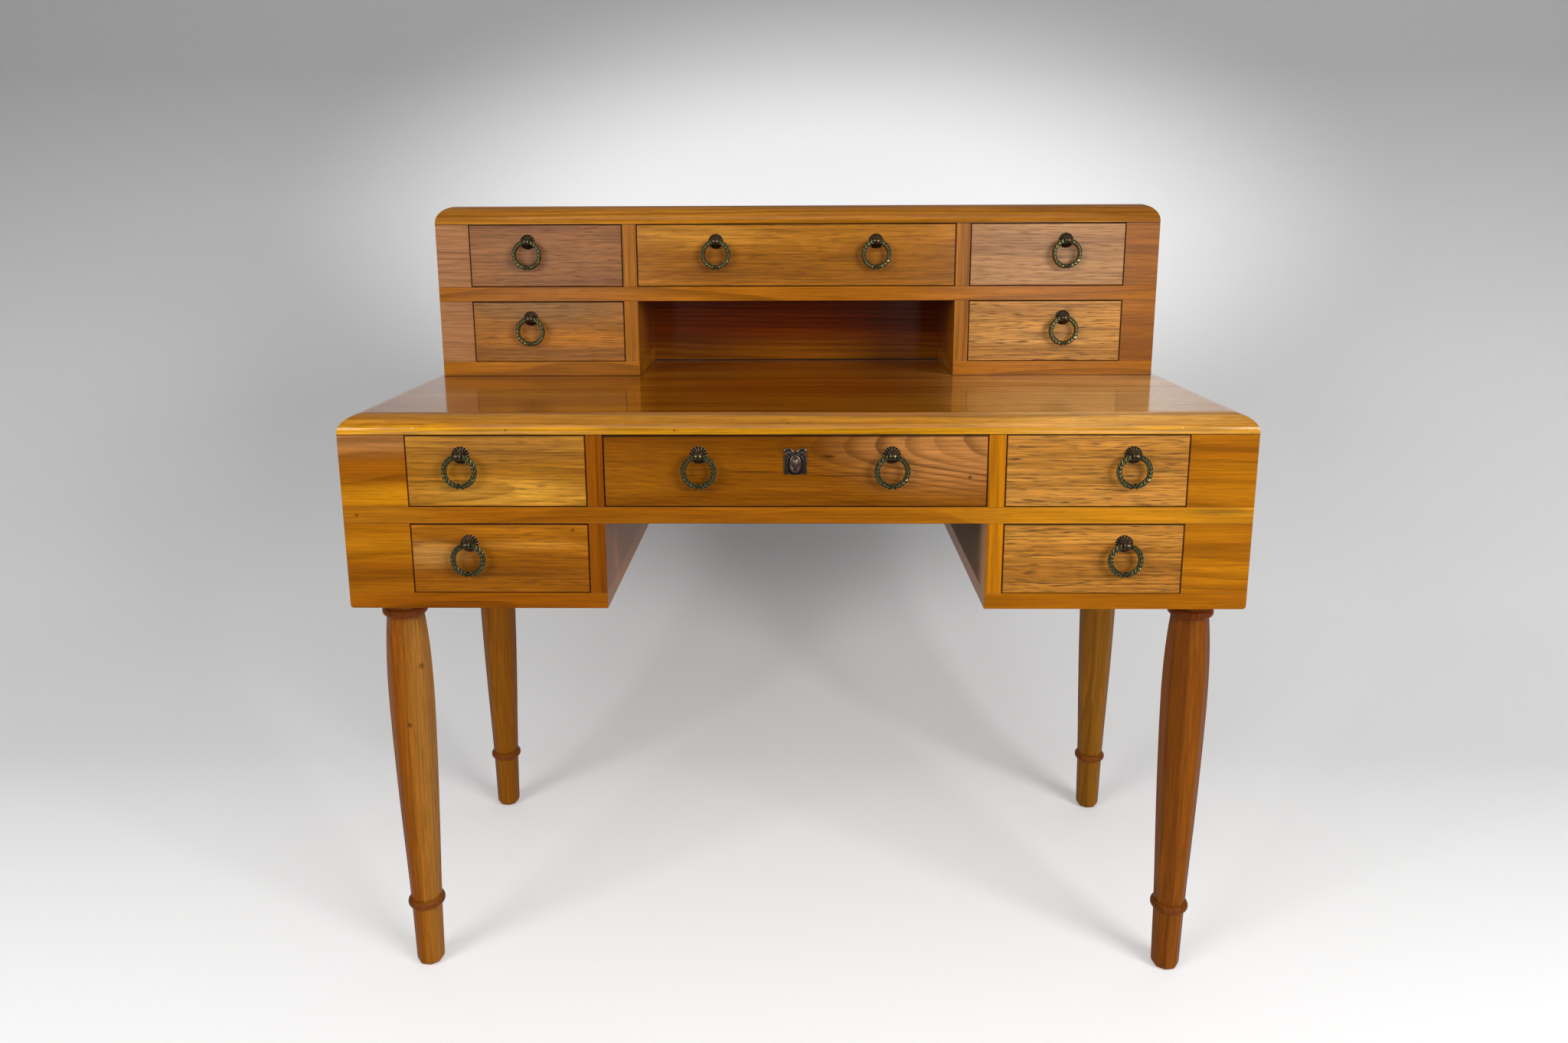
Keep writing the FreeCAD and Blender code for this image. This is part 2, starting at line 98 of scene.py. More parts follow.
# How long and how wide each mark of the wood is, and how ragged. Real pores are a fifth of a millimetre
# wide, so they are drawn several times as coarse, to show from where the desk is looked at.
walnut_marks = {
    "sway": (420 * mm, 120 * mm, 1.0),
    "flame": (700 * mm, 34 * mm, 2.0),
    "fibre": (90 * mm, 1.9 * mm, 2.0),
    "pore": (22 * mm, 1.6 * mm, 1.0),
}
grain_orders = {"X": "XZY", "Y": "YZX", "Z": "ZXY"}
# Levels of each noise between which its mark goes from nothing to full
flame_levels = (0.34, 0.66)
fibre_levels = (0.3, 0.7)
pore_levels = (0.54, 0.68)
# Shares of a growth ring at which its dark line starts, is darkest and ends
line_shares = (0.3, 0.93, 0.94, 1.0)
flame_push = 1.2
# Dark colour of the lines in joints and gaps, partly dirt and partly painted shade
dirt_and_shade = "#1c0a02"
bare_wood = ("#b08a5a", "#7c5a34")
bare_rough = 0.65
dull_rough = 0.9
rubbed_edge = 1.0 * mm
polish_depth = 0.3 * mm


def polished_walnut(name, grain, light, deep, seed, heart=(0.0, 0.2), ring=7 * mm, sway=12 * mm,
                    taper=0.0, lines=0.5, pores=0.5, rough=0.2, shine=0.3, clouds=(), dirt_and_shade_bands=(),
                    knots=(), figured=None, dull_shade_patch=None, bare_behind=None):
    """Walnut under shellac: a clear gloss over honey wood with darker growth lines and short dark pores.
    The rings lie round the tree's heart, which is given across the board's face and behind it. Where
    the trunk tapers they run out of the face in arches. Clouds are soft patches of another tone, some of
    them painted highlights, reflections and shade. The bands across an axis are dark lines, partly dirt and
    partly painted shade in joints and gaps, knots are small dark spots, figured is the patch outside which
    the growth lines fade, the dull patch is one without polish and painted dark as shade, and behind
    bare_behind the wood has no finish."""
    material, tree = new_material(name)
    place = add(tree, "TexCoord").outputs["Object"]

    def patch(middle, reach, depth, core=0.2):
        """How deep a place lies in a patch with a reach along each axis, soft outside its core's share."""
        off = add(tree, "VectorMath", {0: place, 1: middle}, operation="SUBTRACT").outputs[0]
        off = add(tree, "VectorMath", {0: off, 1: reach}, operation="DIVIDE").outputs[0]
        off = add(tree, "VectorMath", {0: off}, operation="LENGTH").outputs["Value"]
        soft = add(tree, "MapRange", {0: off, 1: 1.0, 2: core, 4: depth}, interpolation_type="SMOOTHSTEP")
        return soft.outputs[0]

    axes = add(tree, "SeparateXYZ", {0: place}).outputs
    order = grain_orders[grain]
    log = add(tree, "CombineXYZ", {index: axes[axis] for index, axis in enumerate(order)}).outputs[0]
    log = add(tree, "VectorMath", {0: log, 1: (seed, -heart[0], -heart[1])}, operation="ADD").outputs[0]
    marks = {}
    for mark, (length, width, detail) in walnut_marks.items():
        spread = (1 / length, 1 / width, 1 / width)
        stretched = add(tree, "VectorMath", {0: log, 1: spread}, operation="MULTIPLY").outputs[0]
        marks[mark] = add(tree, "TexNoise", {"Vector": stretched, "Scale": 1.0, "Detail": detail}).outputs
    flaming, fibrous, porous = (marks[mark]["Fac"] for mark in ("flame", "fibre", "pore"))
    # Growth rings, pushed about by the sway of the trunk
    push = add(tree, "VectorMath", {0: marks["sway"]["Color"], 1: (0.5, 0.5, 0.5)}, operation="SUBTRACT")
    swayed = add(tree, "VectorMath", {0: push.outputs[0], 1: (0, 2 * sway, 2 * sway), 2: log},
                 operation="MULTIPLY_ADD")
    across = add(tree, "VectorMath", {0: swayed.outputs[0], 1: (0, 1, 1)}, operation="MULTIPLY")
    radius = add(tree, "VectorMath", {0: across.outputs[0]}, operation="LENGTH").outputs["Value"]
    run = add(tree, "SeparateXYZ", {0: log}).outputs["X"]
    radius = add(tree, "Math", {0: run, 1: -taper, 2: radius}, operation="MULTIPLY_ADD").outputs[0]
    turns = add(tree, "Math", {0: radius, 1: ring}, operation="DIVIDE").outputs[0]
    turns = add(tree, "Math", {0: flaming, 1: flame_push, 2: turns}, operation="MULTIPLY_ADD").outputs[0]
    within = add(tree, "Math", {0: turns}, operation="FRACT").outputs[0]
    year = add(tree, "Math", {0: turns}, operation="FLOOR").outputs[0]
    strong = add(tree, "TexWhiteNoise", {"W": year}, noise_dimensions="1D").outputs["Value"]
    starts, darkest, ends, next_ring = line_shares
    rise = add(tree, "MapRange", {0: within, 1: starts, 2: darkest}, interpolation_type="SMOOTHSTEP")
    fall = add(tree, "MapRange", {0: within, 1: next_ring, 2: ends})
    line = add(tree, "Math", {0: rise.outputs[0], 1: fall.outputs[0]}, operation="MULTIPLY").outputs[0]
    strength = add(tree, "MapRange", {0: strong, 3: 0.2 * lines, 4: 1.2 * lines}).outputs[0]
    line = add(tree, "Math", {0: line, 1: strength}, operation="MULTIPLY").outputs[0]
    if figured is not None:
        calm = add(tree, "MapRange", {0: patch(*figured, 1.0), 3: 0.3}).outputs[0]
        line = add(tree, "Math", {0: line, 1: calm}, operation="MULTIPLY").outputs[0]
    # Pores, thicker in the spring wood at the start of each ring
    pore = add(tree, "MapRange", {0: porous, 1: pore_levels[0], 2: pore_levels[1]}).outputs[0]
    spring = add(tree, "MapRange", {0: within, 3: 1.0, 4: 0.45}).outputs[0]
    pore = add(tree, "Math", {0: pore, 1: spring}, operation="MULTIPLY").outputs[0]
    pore = add(tree, "Math", {0: pore, 1: pores}, operation="MULTIPLY").outputs[0]
    # Colour: honey to brown in broad flames, then the lines, the fibres and the pores
    flame = add(tree, "MapRange", {0: flaming, 1: flame_levels[0], 2: flame_levels[1]}).outputs[0]
    tone = add(tree, "Mix", {0: flame, 6: linear(light), 7: linear(deep)}, data_type="RGBA").outputs[2]
    for middle, reach, colour, depth, *core in clouds:
        cloud = patch(middle, reach, depth, *core)
        tone = add(tree, "Mix", {0: cloud, 6: tone, 7: linear(colour)}, data_type="RGBA").outputs[2]
    tone = add(tree, "Mix", {0: line, 6: tone, 7: linear(deep, 0.4)}, data_type="RGBA").outputs[2]
    fibre = add(tree, "MapRange", {
        0: fibrous, 1: fibre_levels[0], 2: fibre_levels[1], 3: 0.8 - 0.2 * pores, 4: 1.12 + 0.2 * pores,
    }).outputs[0]
    tone = add(tree, "Mix", {0: 1.0, 6: tone, 7: fibre}, data_type="RGBA", blend_type="MULTIPLY").outputs[2]
    tone = add(tree, "Mix", {0: pore, 6: tone, 7: linear(deep, 0.25)}, data_type="RGBA").outputs[2]
    # Dark bands along joints and gaps, partly dirt and partly painted shade
    for axis, middle, half, depth in dirt_and_shade_bands:
        band = add(tree, "Math", {0: axes[axis], 1: middle, 2: half}, operation="COMPARE").outputs[0]
        band = add(tree, "Math", {0: band, 1: depth}, operation="MULTIPLY").outputs[0]
        tone = add(tree, "Mix", {0: band, 6: tone, 7: linear(dirt_and_shade)}, data_type="RGBA").outputs[2]
    for x, y, z, size in knots:
        spot = patch((x, y, z), (size, size, size), 0.7)
        tone = add(tree, "Mix", {0: spot, 6: tone, 7: linear(deep, 0.25)}, data_type="RGBA").outputs[2]
    dullness = add(tree, "Math", {0: pore, 1: 0.2, 2: rough}, operation="MULTIPLY_ADD").outputs[0]
    if bare_behind is not None:
        bare = add(tree, "Math", {0: axes["Y"], 1: bare_behind}, operation="GREATER_THAN").outputs[0]
        pale, brown = (linear(colour) for colour in bare_wood)
        plain = add(tree, "Mix", {0: line, 6: pale, 7: brown}, data_type="RGBA").outputs[2]
        plain = add(tree, "Mix", {0: 1.0, 6: plain, 7: fibre}, data_type="RGBA", blend_type="MULTIPLY")
        tone = add(tree, "Mix", {0: bare, 6: tone, 7: plain.outputs[2]}, data_type="RGBA").outputs[2]
        dullness = add(tree, "Mix", {0: bare, 2: dullness, 3: bare_rough}).outputs[0]
    # A patch without polish whose colour is painted dark as shade
    if dull_shade_patch is not None:
        middle, reach, colour = dull_shade_patch
        wear_and_painted_light = patch(middle, reach, 1.0, core=0.9)
        tone = add(tree, "Mix", {0: wear_and_painted_light, 6: tone, 7: linear(colour)}, data_type="RGBA").outputs[2]
        dullness = add(tree, "Mix", {0: wear_and_painted_light, 2: dullness, 3: dull_rough}).outputs[0]
    # The polish nearly fills the grain, so the surface is only a little uneven, with edges rubbed round
    soft_edge = add(tree, "Bevel", {"Radius": rubbed_edge}, samples=4).outputs[0]
    hollow = add(tree, "Math", {0: pore, 1: -1.0, 2: fibrous}, operation="MULTIPLY_ADD").outputs[0]
    uneven = add(tree, "Bump", {
        "Strength": 0.12, "Distance": polish_depth, "Height": hollow, "Normal": soft_edge,
    })
    shader = add(tree, "BsdfPrincipled", {
        "Base Color": tone, "Roughness": dullness, "Specular IOR Level": shine, "Normal": uneven.outputs[0],
    })
    add(tree, "OutputMaterial", {0: shader.outputs[0]})
    return material


def dress(material, *names):
    """Gives frame nodes their finish."""
    for name in names:
        for slot in nodes[name].material_slots:
            slot.material = material


seam_half = 0.6 * mm
seam_depth = 0.45


def seams(board):
    """Thin dark lines along the top and bottom of a board, partly dirt and partly painted shade in the
    joints.
    """
    low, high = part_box(board)
    return [("Z", z, seam_half, seam_depth) for z in (low.z, high.z)]


joint_half = 0.9 * mm
joint_depth = 0.85
# A dark line under the desktop, partly dirt and partly painted shade
under_desktop = ("Z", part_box("desktop")[0].z, joint_half, joint_depth)
case_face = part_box("case_centre_drawer")[0].y
# Each board's grain, lighter and deeper tone and place in its log, then its heart, patches and seams.
# Places are in metres in the frame, and a patch is its middle, its reach, its colour and its depth.
case_boards = {
    "case_end_blocks": ("X", "#b16d04", "#905201", 1.7, dict(
        heart=(0.62, -0.05), pores=0.25, dirt_and_shade_bands=[under_desktop], clouds=[
            ((-0.50, case_face, 0.690), (0.2, 0.1, 0.030), "#8c4c04", 0.7),
            ((-0.50, case_face, 0.656), (0.2, 0.1, 0.020), "#c8840a", 0.6),
            # A painted sheen: a pinkish grey veil at the top of the left end blocks
            ((-0.50, case_face, 0.723), (0.14, 0.1, 0.030), "#a87c58", 0.4),
            ((-0.49, case_face, 0.560), (0.2, 0.1, 0.022), "#7c4202", 0.6),
            ((-0.49, case_face, 0.598), (0.2, 0.1, 0.014), "#b87408", 0.6),
        ])),
    "case_rail_board": ("X", "#9f5e06", "#814402", 4.1, dict(
        heart=(0.60, -0.10), pores=0.25, dirt_and_shade_bands=seams("case_rail_board"),
        knots=[(-0.514, case_face, 0.632, 3.2 * mm)], clouds=[
            ((0.46, case_face, 0.632), (0.42, 0.1, 0.2), "#c78312", 0.9),
            ((-0.50, case_face, 0.632), (0.12, 0.1, 0.2), "#a46810", 0.6),
            ((0.49, case_face, 0.636), (0.05, 0.1, 0.006), "#8a6420", 0.6),
        ])),
    "case_bottom_boards": ("X", "#a96500", "#8d4e00", 6.3, dict(
        heart=(0.50, -0.12), pores=0.2, clouds=[
            ((-0.36, case_face, 0.528), (0.28, 0.1, 0.2), "#874700", 0.9),
        ])),
    "case_left_partitions": ("Z", "#8f4e00", "#753b00", 2.9, dict(
        heart=(-0.30, -0.2), pores=0.2, dirt_and_shade_bands=[under_desktop])),
    "case_right_partitions": ("Z", "#b77000", "#9c5b00", 5.2, dict(
        heart=(0.16, -0.3), pores=0.2, dirt_and_shade_bands=[under_desktop],
        # The inner face towards the knee hole is dull and painted dark greyish brown as shade
        dull_shade_patch=((0.20, 0.30, 0.57), (0.3, 0.55, 0.6), "#5c4632"))),
    "case_left_side": ("Y", "#a86a18", "#8a520c", 8.4, dict(heart=(0.62, -0.50), pores=0.35)),
    "case_right_side": ("Y", "#ac6e1a", "#8a520c", 9.6, dict(heart=(0.64, 0.56), pores=0.35)),
}
for board, (grain, light, deep, seed, more) in case_boards.items():
    dress(polished_walnut("French polished walnut " + board, grain, light, deep, seed, **more), board)

# Inside of the carcass
# Guides beside the drawers and the panels nailed on behind are poplar, planed and left bare, so they are
# pale, dull and a little grey with age.
poplar_stripes = ((600 * mm, 22 * mm), (60 * mm, 1.8 * mm))
poplar_tones = ("#9a7a50", "#7a5c38")


def bare_poplar(name, grain, seed):
    """Poplar straight from the plane: pale and matt, with faint wide grain."""
    material, tree = new_material(name)
    place = add(tree, "TexCoord").outputs["Object"]
    axes = add(tree, "SeparateXYZ", {0: place}).outputs
    order = grain_orders[grain]
    log = add(tree, "CombineXYZ", {index: axes[axis] for index, axis in enumerate(order)}).outputs[0]
    log = add(tree, "VectorMath", {0: log, 1: (seed, 0, 0)}, operation="ADD").outputs[0]
    stripes = []
    for length, width in poplar_stripes:
        spread = (1 / length, 1 / width, 1 / width)
        stretched = add(tree, "VectorMath", {0: log, 1: spread}, operation="MULTIPLY").outputs[0]
        stripe = add(tree, "TexNoise", {"Vector": stretched, "Scale": 1.0, "Detail": 2.0})
        stripes.append(stripe.outputs["Fac"])
    broad, narrow = stripes
    pale, brown = (linear(colour) for colour in poplar_tones)
    wide = add(tree, "MapRange", {0: broad, 1: fibre_levels[0], 2: fibre_levels[1]}).outputs[0]
    tone = add(tree, "Mix", {0: wide, 6: pale, 7: brown}, data_type="RGBA").outputs[2]
    fine = add(tree, "MapRange", {0: narrow, 1: fibre_levels[0], 2: fibre_levels[1], 3: 0.8, 4: 1.1})
    tone = add(tree, "Mix", {0: 1.0, 6: tone, 7: fine.outputs[0]}, data_type="RGBA", blend_type="MULTIPLY")
    tone = tone.outputs[2]
    dullness = add(tree, "MapRange", {0: narrow, 3: 0.6, 4: 0.8}).outputs[0]
    uneven = add(tree, "Bump", {"Strength": 0.25, "Distance": polish_depth, "Height": narrow})
    shader = add(tree, "BsdfPrincipled", {
        "Base Color": tone, "Roughness": dullness, "Normal": uneven.outputs[0],
    })
    add(tree, "OutputMaterial", {0: shader.outputs[0]})
    return material


dress(bare_poplar("Bare poplar guides", "Y", 2.3), "case_drawer_guides", "gallery_drawer_guides")
dress(bare_poplar("Bare poplar case back", "X", 5.9), "case_back_panels")

# Legs
# Each is one length of walnut, turned at the collar and bead and faceted by hand between them, then
# tenoned up into the case. Stain and polish gathered on the turned parts, so they are darker and redder.
collar_middle = 0.495
collar_reach = 0.013
bead_middle = 0.092
bead_reach = 0.010
# Small knots, in millimetres from the leg's middle and up from the floor, each with its size
front_left_knots = [(22, -18, 425, 6), (27, -11, 372, 4), (4, -27.5, 350, 5), (15, -20, 186, 4)]
legs = {
    "leg_front_left": ("#a4600c", "#7e4604", 1.3, front_left_knots),
    "leg_front_right": ("#824604", "#6a3502", 3.8, []),
    "leg_back_left": ("#8d5304", "#744102", 6.1, []),
    "leg_back_right": ("#8f5b10", "#774a0a", 8.7, []),
}
for leg, (light, deep, seed, knots) in legs.items():
    middle = (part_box(leg)[0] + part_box(leg)[1]) / 2
    tones = [((middle.x, middle.y, collar_middle), (1.0, 1.0, collar_reach), "#6c3008", 0.9),
             ((middle.x, middle.y, bead_middle), (1.0, 1.0, bead_reach), "#70360a", 0.9)]
    if leg == "leg_front_left":
        # The half towards the knee hole is painted paler and the outer facet darker: painted light and
        # shade on the facets
        tones.insert(0, ((middle.x + 0.024, middle.y - 0.02, 0.25), (0.028, 0.06, 0.9), "#a56f2c", 0.8))
        tones.insert(0, ((middle.x - 0.040, middle.y, 0.25), (0.038, 0.2, 3.0), "#874604", 0.75, 0.9))
    walnut = polished_walnut(
        "French polished walnut " + leg, "Z", light, deep, seed,
        heart=(middle.x + 0.05, middle.y + 0.02), pores=0.2, ring=5 * mm, lines=0.3,
        rough=0.42, shine=0.1, clouds=tones,
        knots=[(middle.x + x * mm, middle.y + y * mm, z * mm, size * mm) for x, y, z, size in knots],
    )
    dress(walnut, leg)

# Desktop
# One wide walnut panel laid on the case and glued, with quarter-round front and side edges. It carries the
# deepest polish of the whole desk, so the gallery mirrors in it.
desk_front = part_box("desktop")[0].y
niche_low, niche_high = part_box("gallery_back_panel")
desk_specks = [(-0.334, desk_front, 0.733, 2.2 * mm), (-0.139, desk_front, 0.733, 2.2 * mm),
               (-0.009, desk_front + 4 * mm, 0.740, 2.0 * mm)]
under_niche_back = (0.0, (niche_low.y + niche_high.y) / 2, 0.75)
dress(polished_walnut(
    "French polished walnut desktop", "X", "#b87417", "#904c06", 2.2, heart=(0.62, 0.0), ring=9 * mm,
    pores=0.35, rough=0.1, shine=0.5, knots=desk_specks,
    # A dull dark line under the niche's back panel, painted shade
    dull_shade_patch=(under_niche_back, (0.42, 0.014, 0.1), dirt_and_shade), clouds=[
        # The pale patch on the right of the top is a painted reflection over the wood
        ((0.38, -0.05, 0.75), (0.26, 0.5, 0.1), "#f0b468", 0.95),
        ((0.0, 0.2, 0.75), (0.6, 0.13, 0.1), "#843400", 0.85),
        ((0.0, -0.02, 0.75), (0.3, 0.22, 0.1), "#9a4e00", 0.7),
        # The pale lower band of the front edge is paler wood with a painted highlight
        ((0.0, desk_front, 0.731), (9.0, 0.03, 0.011), "#d89818", 0.8),
        ((0.0, desk_front, 0.747), (9.0, 0.03, 0.012), "#c88c1c", 0.55),
    ],
), "desktop")

# Gallery carcass
# The same walnut as the case, in a lighter frame that stands on the desktop: top with quarter-round edges,
# end blocks, rail, partitions and base boards. The niche's back and floor are darker and redder.
# Dark lines under the gallery top and along its foot on the desktop, partly dirt and partly painted shade
under_gallery_top = ("Z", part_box("gallery_top")[0].z, joint_half, joint_depth)
on_desktop = ("Z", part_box("desktop")[1].z, 1.0 * mm, 0.8)
gallery_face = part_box("gallery_centre_drawer")[0].y
niche_walls = ((0.0, 0.2, 0.81), (0.6, 0.12, 0.2), "#762a00", 0.9)
gallery_boards = {
    "gallery_top": ("X", "#b4741a", "#91570f", 3.3, dict(heart=(0.90, 0.0), rough=0.14, pores=0.3)),
    "gallery_end_blocks": ("X", "#9f5f19", "#844d14", 7.9, dict(
        heart=(0.80, -0.05), pores=0.3, dirt_and_shade_bands=[under_gallery_top], clouds=[
            # A painted sheen: a pinkish grey veil on the left end block
            ((-0.49, gallery_face, 0.87), (0.09, 0.1, 0.3), "#a27048", 0.9),
        ])),
    "gallery_rail_board": ("X", "#b66f12", "#9a590c", 5.5, dict(
        heart=(0.82, -0.1), pores=0.3, dirt_and_shade_bands=seams("gallery_rail_board"))),
    "gallery_base_boards": ("X", "#b06c12", "#94560a", 9.1, dict(
        heart=(0.70, -0.1), pores=0.3, dirt_and_shade_bands=[on_desktop])),
    "gallery_left_partitions": ("Z", "#aa6814", "#8e540c", 1.1, dict(
        heart=(-0.30, 0.0), pores=0.2, dirt_and_shade_bands=[under_gallery_top], clouds=[niche_walls])),
    "gallery_right_partitions": ("Z", "#ac6a16", "#905610", 4.7, dict(
        heart=(0.16, 0.0), pores=0.2, dirt_and_shade_bands=[under_gallery_top], clouds=[niche_walls])),
    "gallery_left_side": ("Z", "#a0682a", "#85521c", 6.9, dict(heart=(-0.60, 0.1), pores=0.3)),
    "gallery_right_side": ("Z", "#a0682a", "#85521c", 2.7, dict(heart=(0.62, 0.1), pores=0.3)),
    "gallery_back_panel": ("X", "#903b03", "#6c2702", 8.1, dict(heart=(0.72, 0.3), pores=0.2, clouds=[
        ((0.0, niche_low.y, 0.757), (0.6, 0.1, 0.045), "#86500c", 0.75),
    ])),
}
for board, (grain, light, deep, seed, more) in gallery_boards.items():
    dress(polished_walnut("French polished walnut " + board, grain, light, deep, seed, **more), board)

# Drawers
# Each front is one piece of walnut chosen for its figure and polished on the face. The sides, back and
# bottom behind it are bare wood, dovetailed and grooved together.
front_thickness = 18 * mm
bare_lap = 0.5 * mm
drawer_fronts = {
    "case_upper_left_drawer": ("#b97e25", "#935d13", 1.978, dict(
        heart=(0.664, case_face + 0.03), ring=7 * mm, taper=-0.05, lines=0.4, pores=0.6, clouds=[
            ((-0.35, case_face, 0.716), (0.16, 0.1, 0.034), "#8e5e26", 0.7),
            ((-0.33, case_face, 0.658), (0.14, 0.1, 0.026), "#cc9232", 0.7),
        ])),
    "case_centre_drawer": ("#814a04", "#603100", 0.42, dict(
        heart=(0.716, case_face + 0.03), ring=6 * mm, taper=0.15, lines=0.62, pores=0.3,
        figured=((0.16, case_face, 0.70), (0.22, 0.1, 0.12)),
        knots=[(0.2016, case_face, 0.6775, 3.5 * mm)], clouds=[
            ((0.19, case_face, 0.712), (0.19, 0.1, 0.075), "#b0743a", 0.95),
            ((-0.20, case_face, 0.672), (0.12, 0.1, 0.03), "#a0620c", 0.5),
            ((0.038, case_face, 0.702), (0.012, 0.1, 0.003), "#3c2004", 0.8),
            ((-0.050, case_face, 0.684), (0.050, 0.1, 0.0016), "#3c1c00", 0.7),
            ((0.050, case_face, 0.679), (0.060, 0.1, 0.0014), "#3c1c00", 0.7),
        ])),
    "case_upper_right_drawer": ("#b77c33", "#9c6521", 5.7, dict(
        heart=(0.52, case_face + 0.05), ring=12 * mm, lines=0.25, pores=1.0)),
    "case_lower_left_drawer": ("#a8660d", "#7e4606", 7.3, dict(
        heart=(0.61, case_face + 0.05), ring=9 * mm, taper=0.04, lines=0.35, pores=0.5,
        knots=[(-0.261, case_face, 0.614, 3.2 * mm)], clouds=[
            ((-0.43, case_face, 0.584), (0.07, 0.1, 0.024), "#c8924a", 0.5),
            ((-0.32, case_face, 0.596), (0.12, 0.1, 0.010), "#c08028", 0.6),
            ((-0.35, case_face, 0.560), (0.16, 0.1, 0.012), "#70400c", 0.6),
        ])),
    "case_lower_right_drawer": ("#b87c2f", "#9a611e", 9.9, dict(
        heart=(0.45, case_face + 0.05), ring=13 * mm, lines=0.25, pores=1.0)),
    "gallery_upper_left_drawer": ("#996537", "#82522f", 2.6, dict(
        heart=(0.95, gallery_face + 0.03), ring=8 * mm, taper=0.04, lines=0.3, pores=0.6)),
    "gallery_centre_drawer": ("#b47522", "#935b1a", 4.4, dict(
        heart=(0.93, gallery_face + 0.03), ring=8 * mm, taper=-0.05, lines=0.3, pores=0.6, clouds=[
            ((-0.14, gallery_face, 0.948), (0.2, 0.1, 0.026), "#c08430", 0.7),
            ((-0.10, gallery_face, 0.892), (0.2, 0.1, 0.020), "#84501a", 0.6),
        ])),
    "gallery_upper_right_drawer": ("#b48351", "#9c6e45", 6.6, dict(
        heart=(0.95, gallery_face + 0.03), ring=8 * mm, taper=0.05, lines=0.3, pores=0.6)),
    "gallery_lower_left_drawer": ("#aa6c2a", "#8a5824", 8.2, dict(
        heart=(0.80, gallery_face + 0.03), ring=9 * mm, taper=-0.04, lines=0.3, pores=0.6, clouds=[
            ((-0.35, gallery_face, 0.846), (0.2, 0.1, 0.026), "#86623a", 0.7),
            ((-0.33, gallery_face, 0.804), (0.16, 0.1, 0.020), "#bc7420", 0.7),
        ])),
    "gallery_lower_right_drawer": ("#c3893f", "#a7702f", 10.3, dict(
        heart=(0.76, gallery_face + 0.05), ring=12 * mm, lines=0.25, pores=1.0, clouds=[
            ((0.33, gallery_face, 0.842), (0.2, 0.1, 0.016), "#966028", 0.6),
            ((0.33, gallery_face, 0.804), (0.2, 0.1, 0.020), "#d09650", 0.6),
        ])),
}
# Dark lines along the fronts' edges are partly polish and dust and partly painted shade in the gaps, widest
# as a painted shadow under the wide gap over the middle one.
edge_depth = 0.75
wide_gaps = {"case_centre_drawer": 1.9 * mm, "case_upper_left_drawer": 1.2 * mm}
for drawer, (light, deep, seed, more) in drawer_fronts.items():
    face = gallery_face if drawer.startswith("gallery") else case_face
    low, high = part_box(drawer)
    edges = [
        ("X", low.x, joint_half, edge_depth),
        ("X", high.x, joint_half, edge_depth),
        ("Z", low.z, joint_half, edge_depth),
        ("Z", high.z, wide_gaps.get(drawer, joint_half), joint_depth),
    ]
    dress(polished_walnut(
        "French polished walnut " + drawer, "X", light, deep, seed, dirt_and_shade_bands=edges,
        bare_behind=face + front_thickness - bare_lap, **more,
    ), drawer)

# Rosettes of the pulls
# Small round plates cast in bronze, fluted like a daisy, with an eye standing out of the middle. A pin
# behind each one is riveted through the drawer front. The bronze has a dark green and brown patina.
blotch_size = 5 * mm
grit_size = 0.8 * mm
grit_depth = 0.15 * mm
patina_levels = (0.42, 0.62)
hollow_levels = (0.495, 0.43)
raised_levels = (0.555, 0.64)
hollow_dirt = "#120d06"


def patinated_bronze(name, body, green, wear_and_painted_light):
    """Cast bronze with a patina: dark in hollows, green in patches, bright with wear where it is raised,
    and that brightness is also a painted highlight on the raised points.
    """
    material, tree = new_material(name)
    place = add(tree, "TexCoord").outputs["Object"]
    blotch = add(tree, "TexNoise", {"Vector": place, "Scale": 1 / blotch_size, "Detail": 3.0})
    blotch = blotch.outputs["Fac"]
    grit = add(tree, "TexNoise", {"Vector": place, "Scale": 1 / grit_size, "Detail": 2.0}).outputs["Fac"]
    raised = add(tree, "NewGeometry").outputs["Pointiness"]
    rubbed_and_highlit = add(tree, "MapRange", {0: raised, 1: raised_levels[0], 2: raised_levels[1]}).outputs[0]
    sunk = add(tree, "MapRange", {0: raised, 1: hollow_levels[0], 2: hollow_levels[1]}).outputs[0]
    patches = add(tree, "MapRange", {0: blotch, 1: patina_levels[0], 2: patina_levels[1]}).outputs[0]
    tone = add(tree, "Mix", {0: patches, 6: linear(body), 7: linear(green)}, data_type="RGBA").outputs[2]
    tone = add(tree, "Mix", {0: sunk, 6: tone, 7: linear(hollow_dirt)}, data_type="RGBA").outputs[2]
    # Bright on raised points: wear, and a painted highlight
    tone = add(tree, "Mix", {0: rubbed_and_highlit, 6: tone, 7: linear(wear_and_painted_light)}, data_type="RGBA").outputs[2]
    dullness = add(tree, "MapRange", {0: grit, 1: 0.3, 2: 0.7, 3: 0.26, 4: 0.44}).outputs[0]
    uneven = add(tree, "Bump", {"Strength": 0.25, "Distance": grit_depth, "Height": grit})
    shader = add(tree, "BsdfPrincipled", {
        "Base Color": tone, "Metallic": 0.9, "Roughness": dullness, "Normal": uneven.outputs[0],
    })
    add(tree, "OutputMaterial", {0: shader.outputs[0]})
    return material


def sweep(mesh, stations, outline, closed):
    """Skins a body along stations, each a centre and the two vectors that the outline's shares multiply."""
    loops = []
    for centre, side, out in stations:
        loops.append([mesh.verts.new(centre + side * a + out * b) for a, b in outline])
    following = loops[1:] + (loops[:1] if closed else [])
    for here, there in zip(loops, following):
        for index in range(len(outline)):
            after = (index + 1) % len(outline)
            mesh.faces.new((here[index], here[after], there[after], there[index]))
    if not closed:
        mesh.faces.new(loops[0])
        mesh.faces.new(loops[-1])


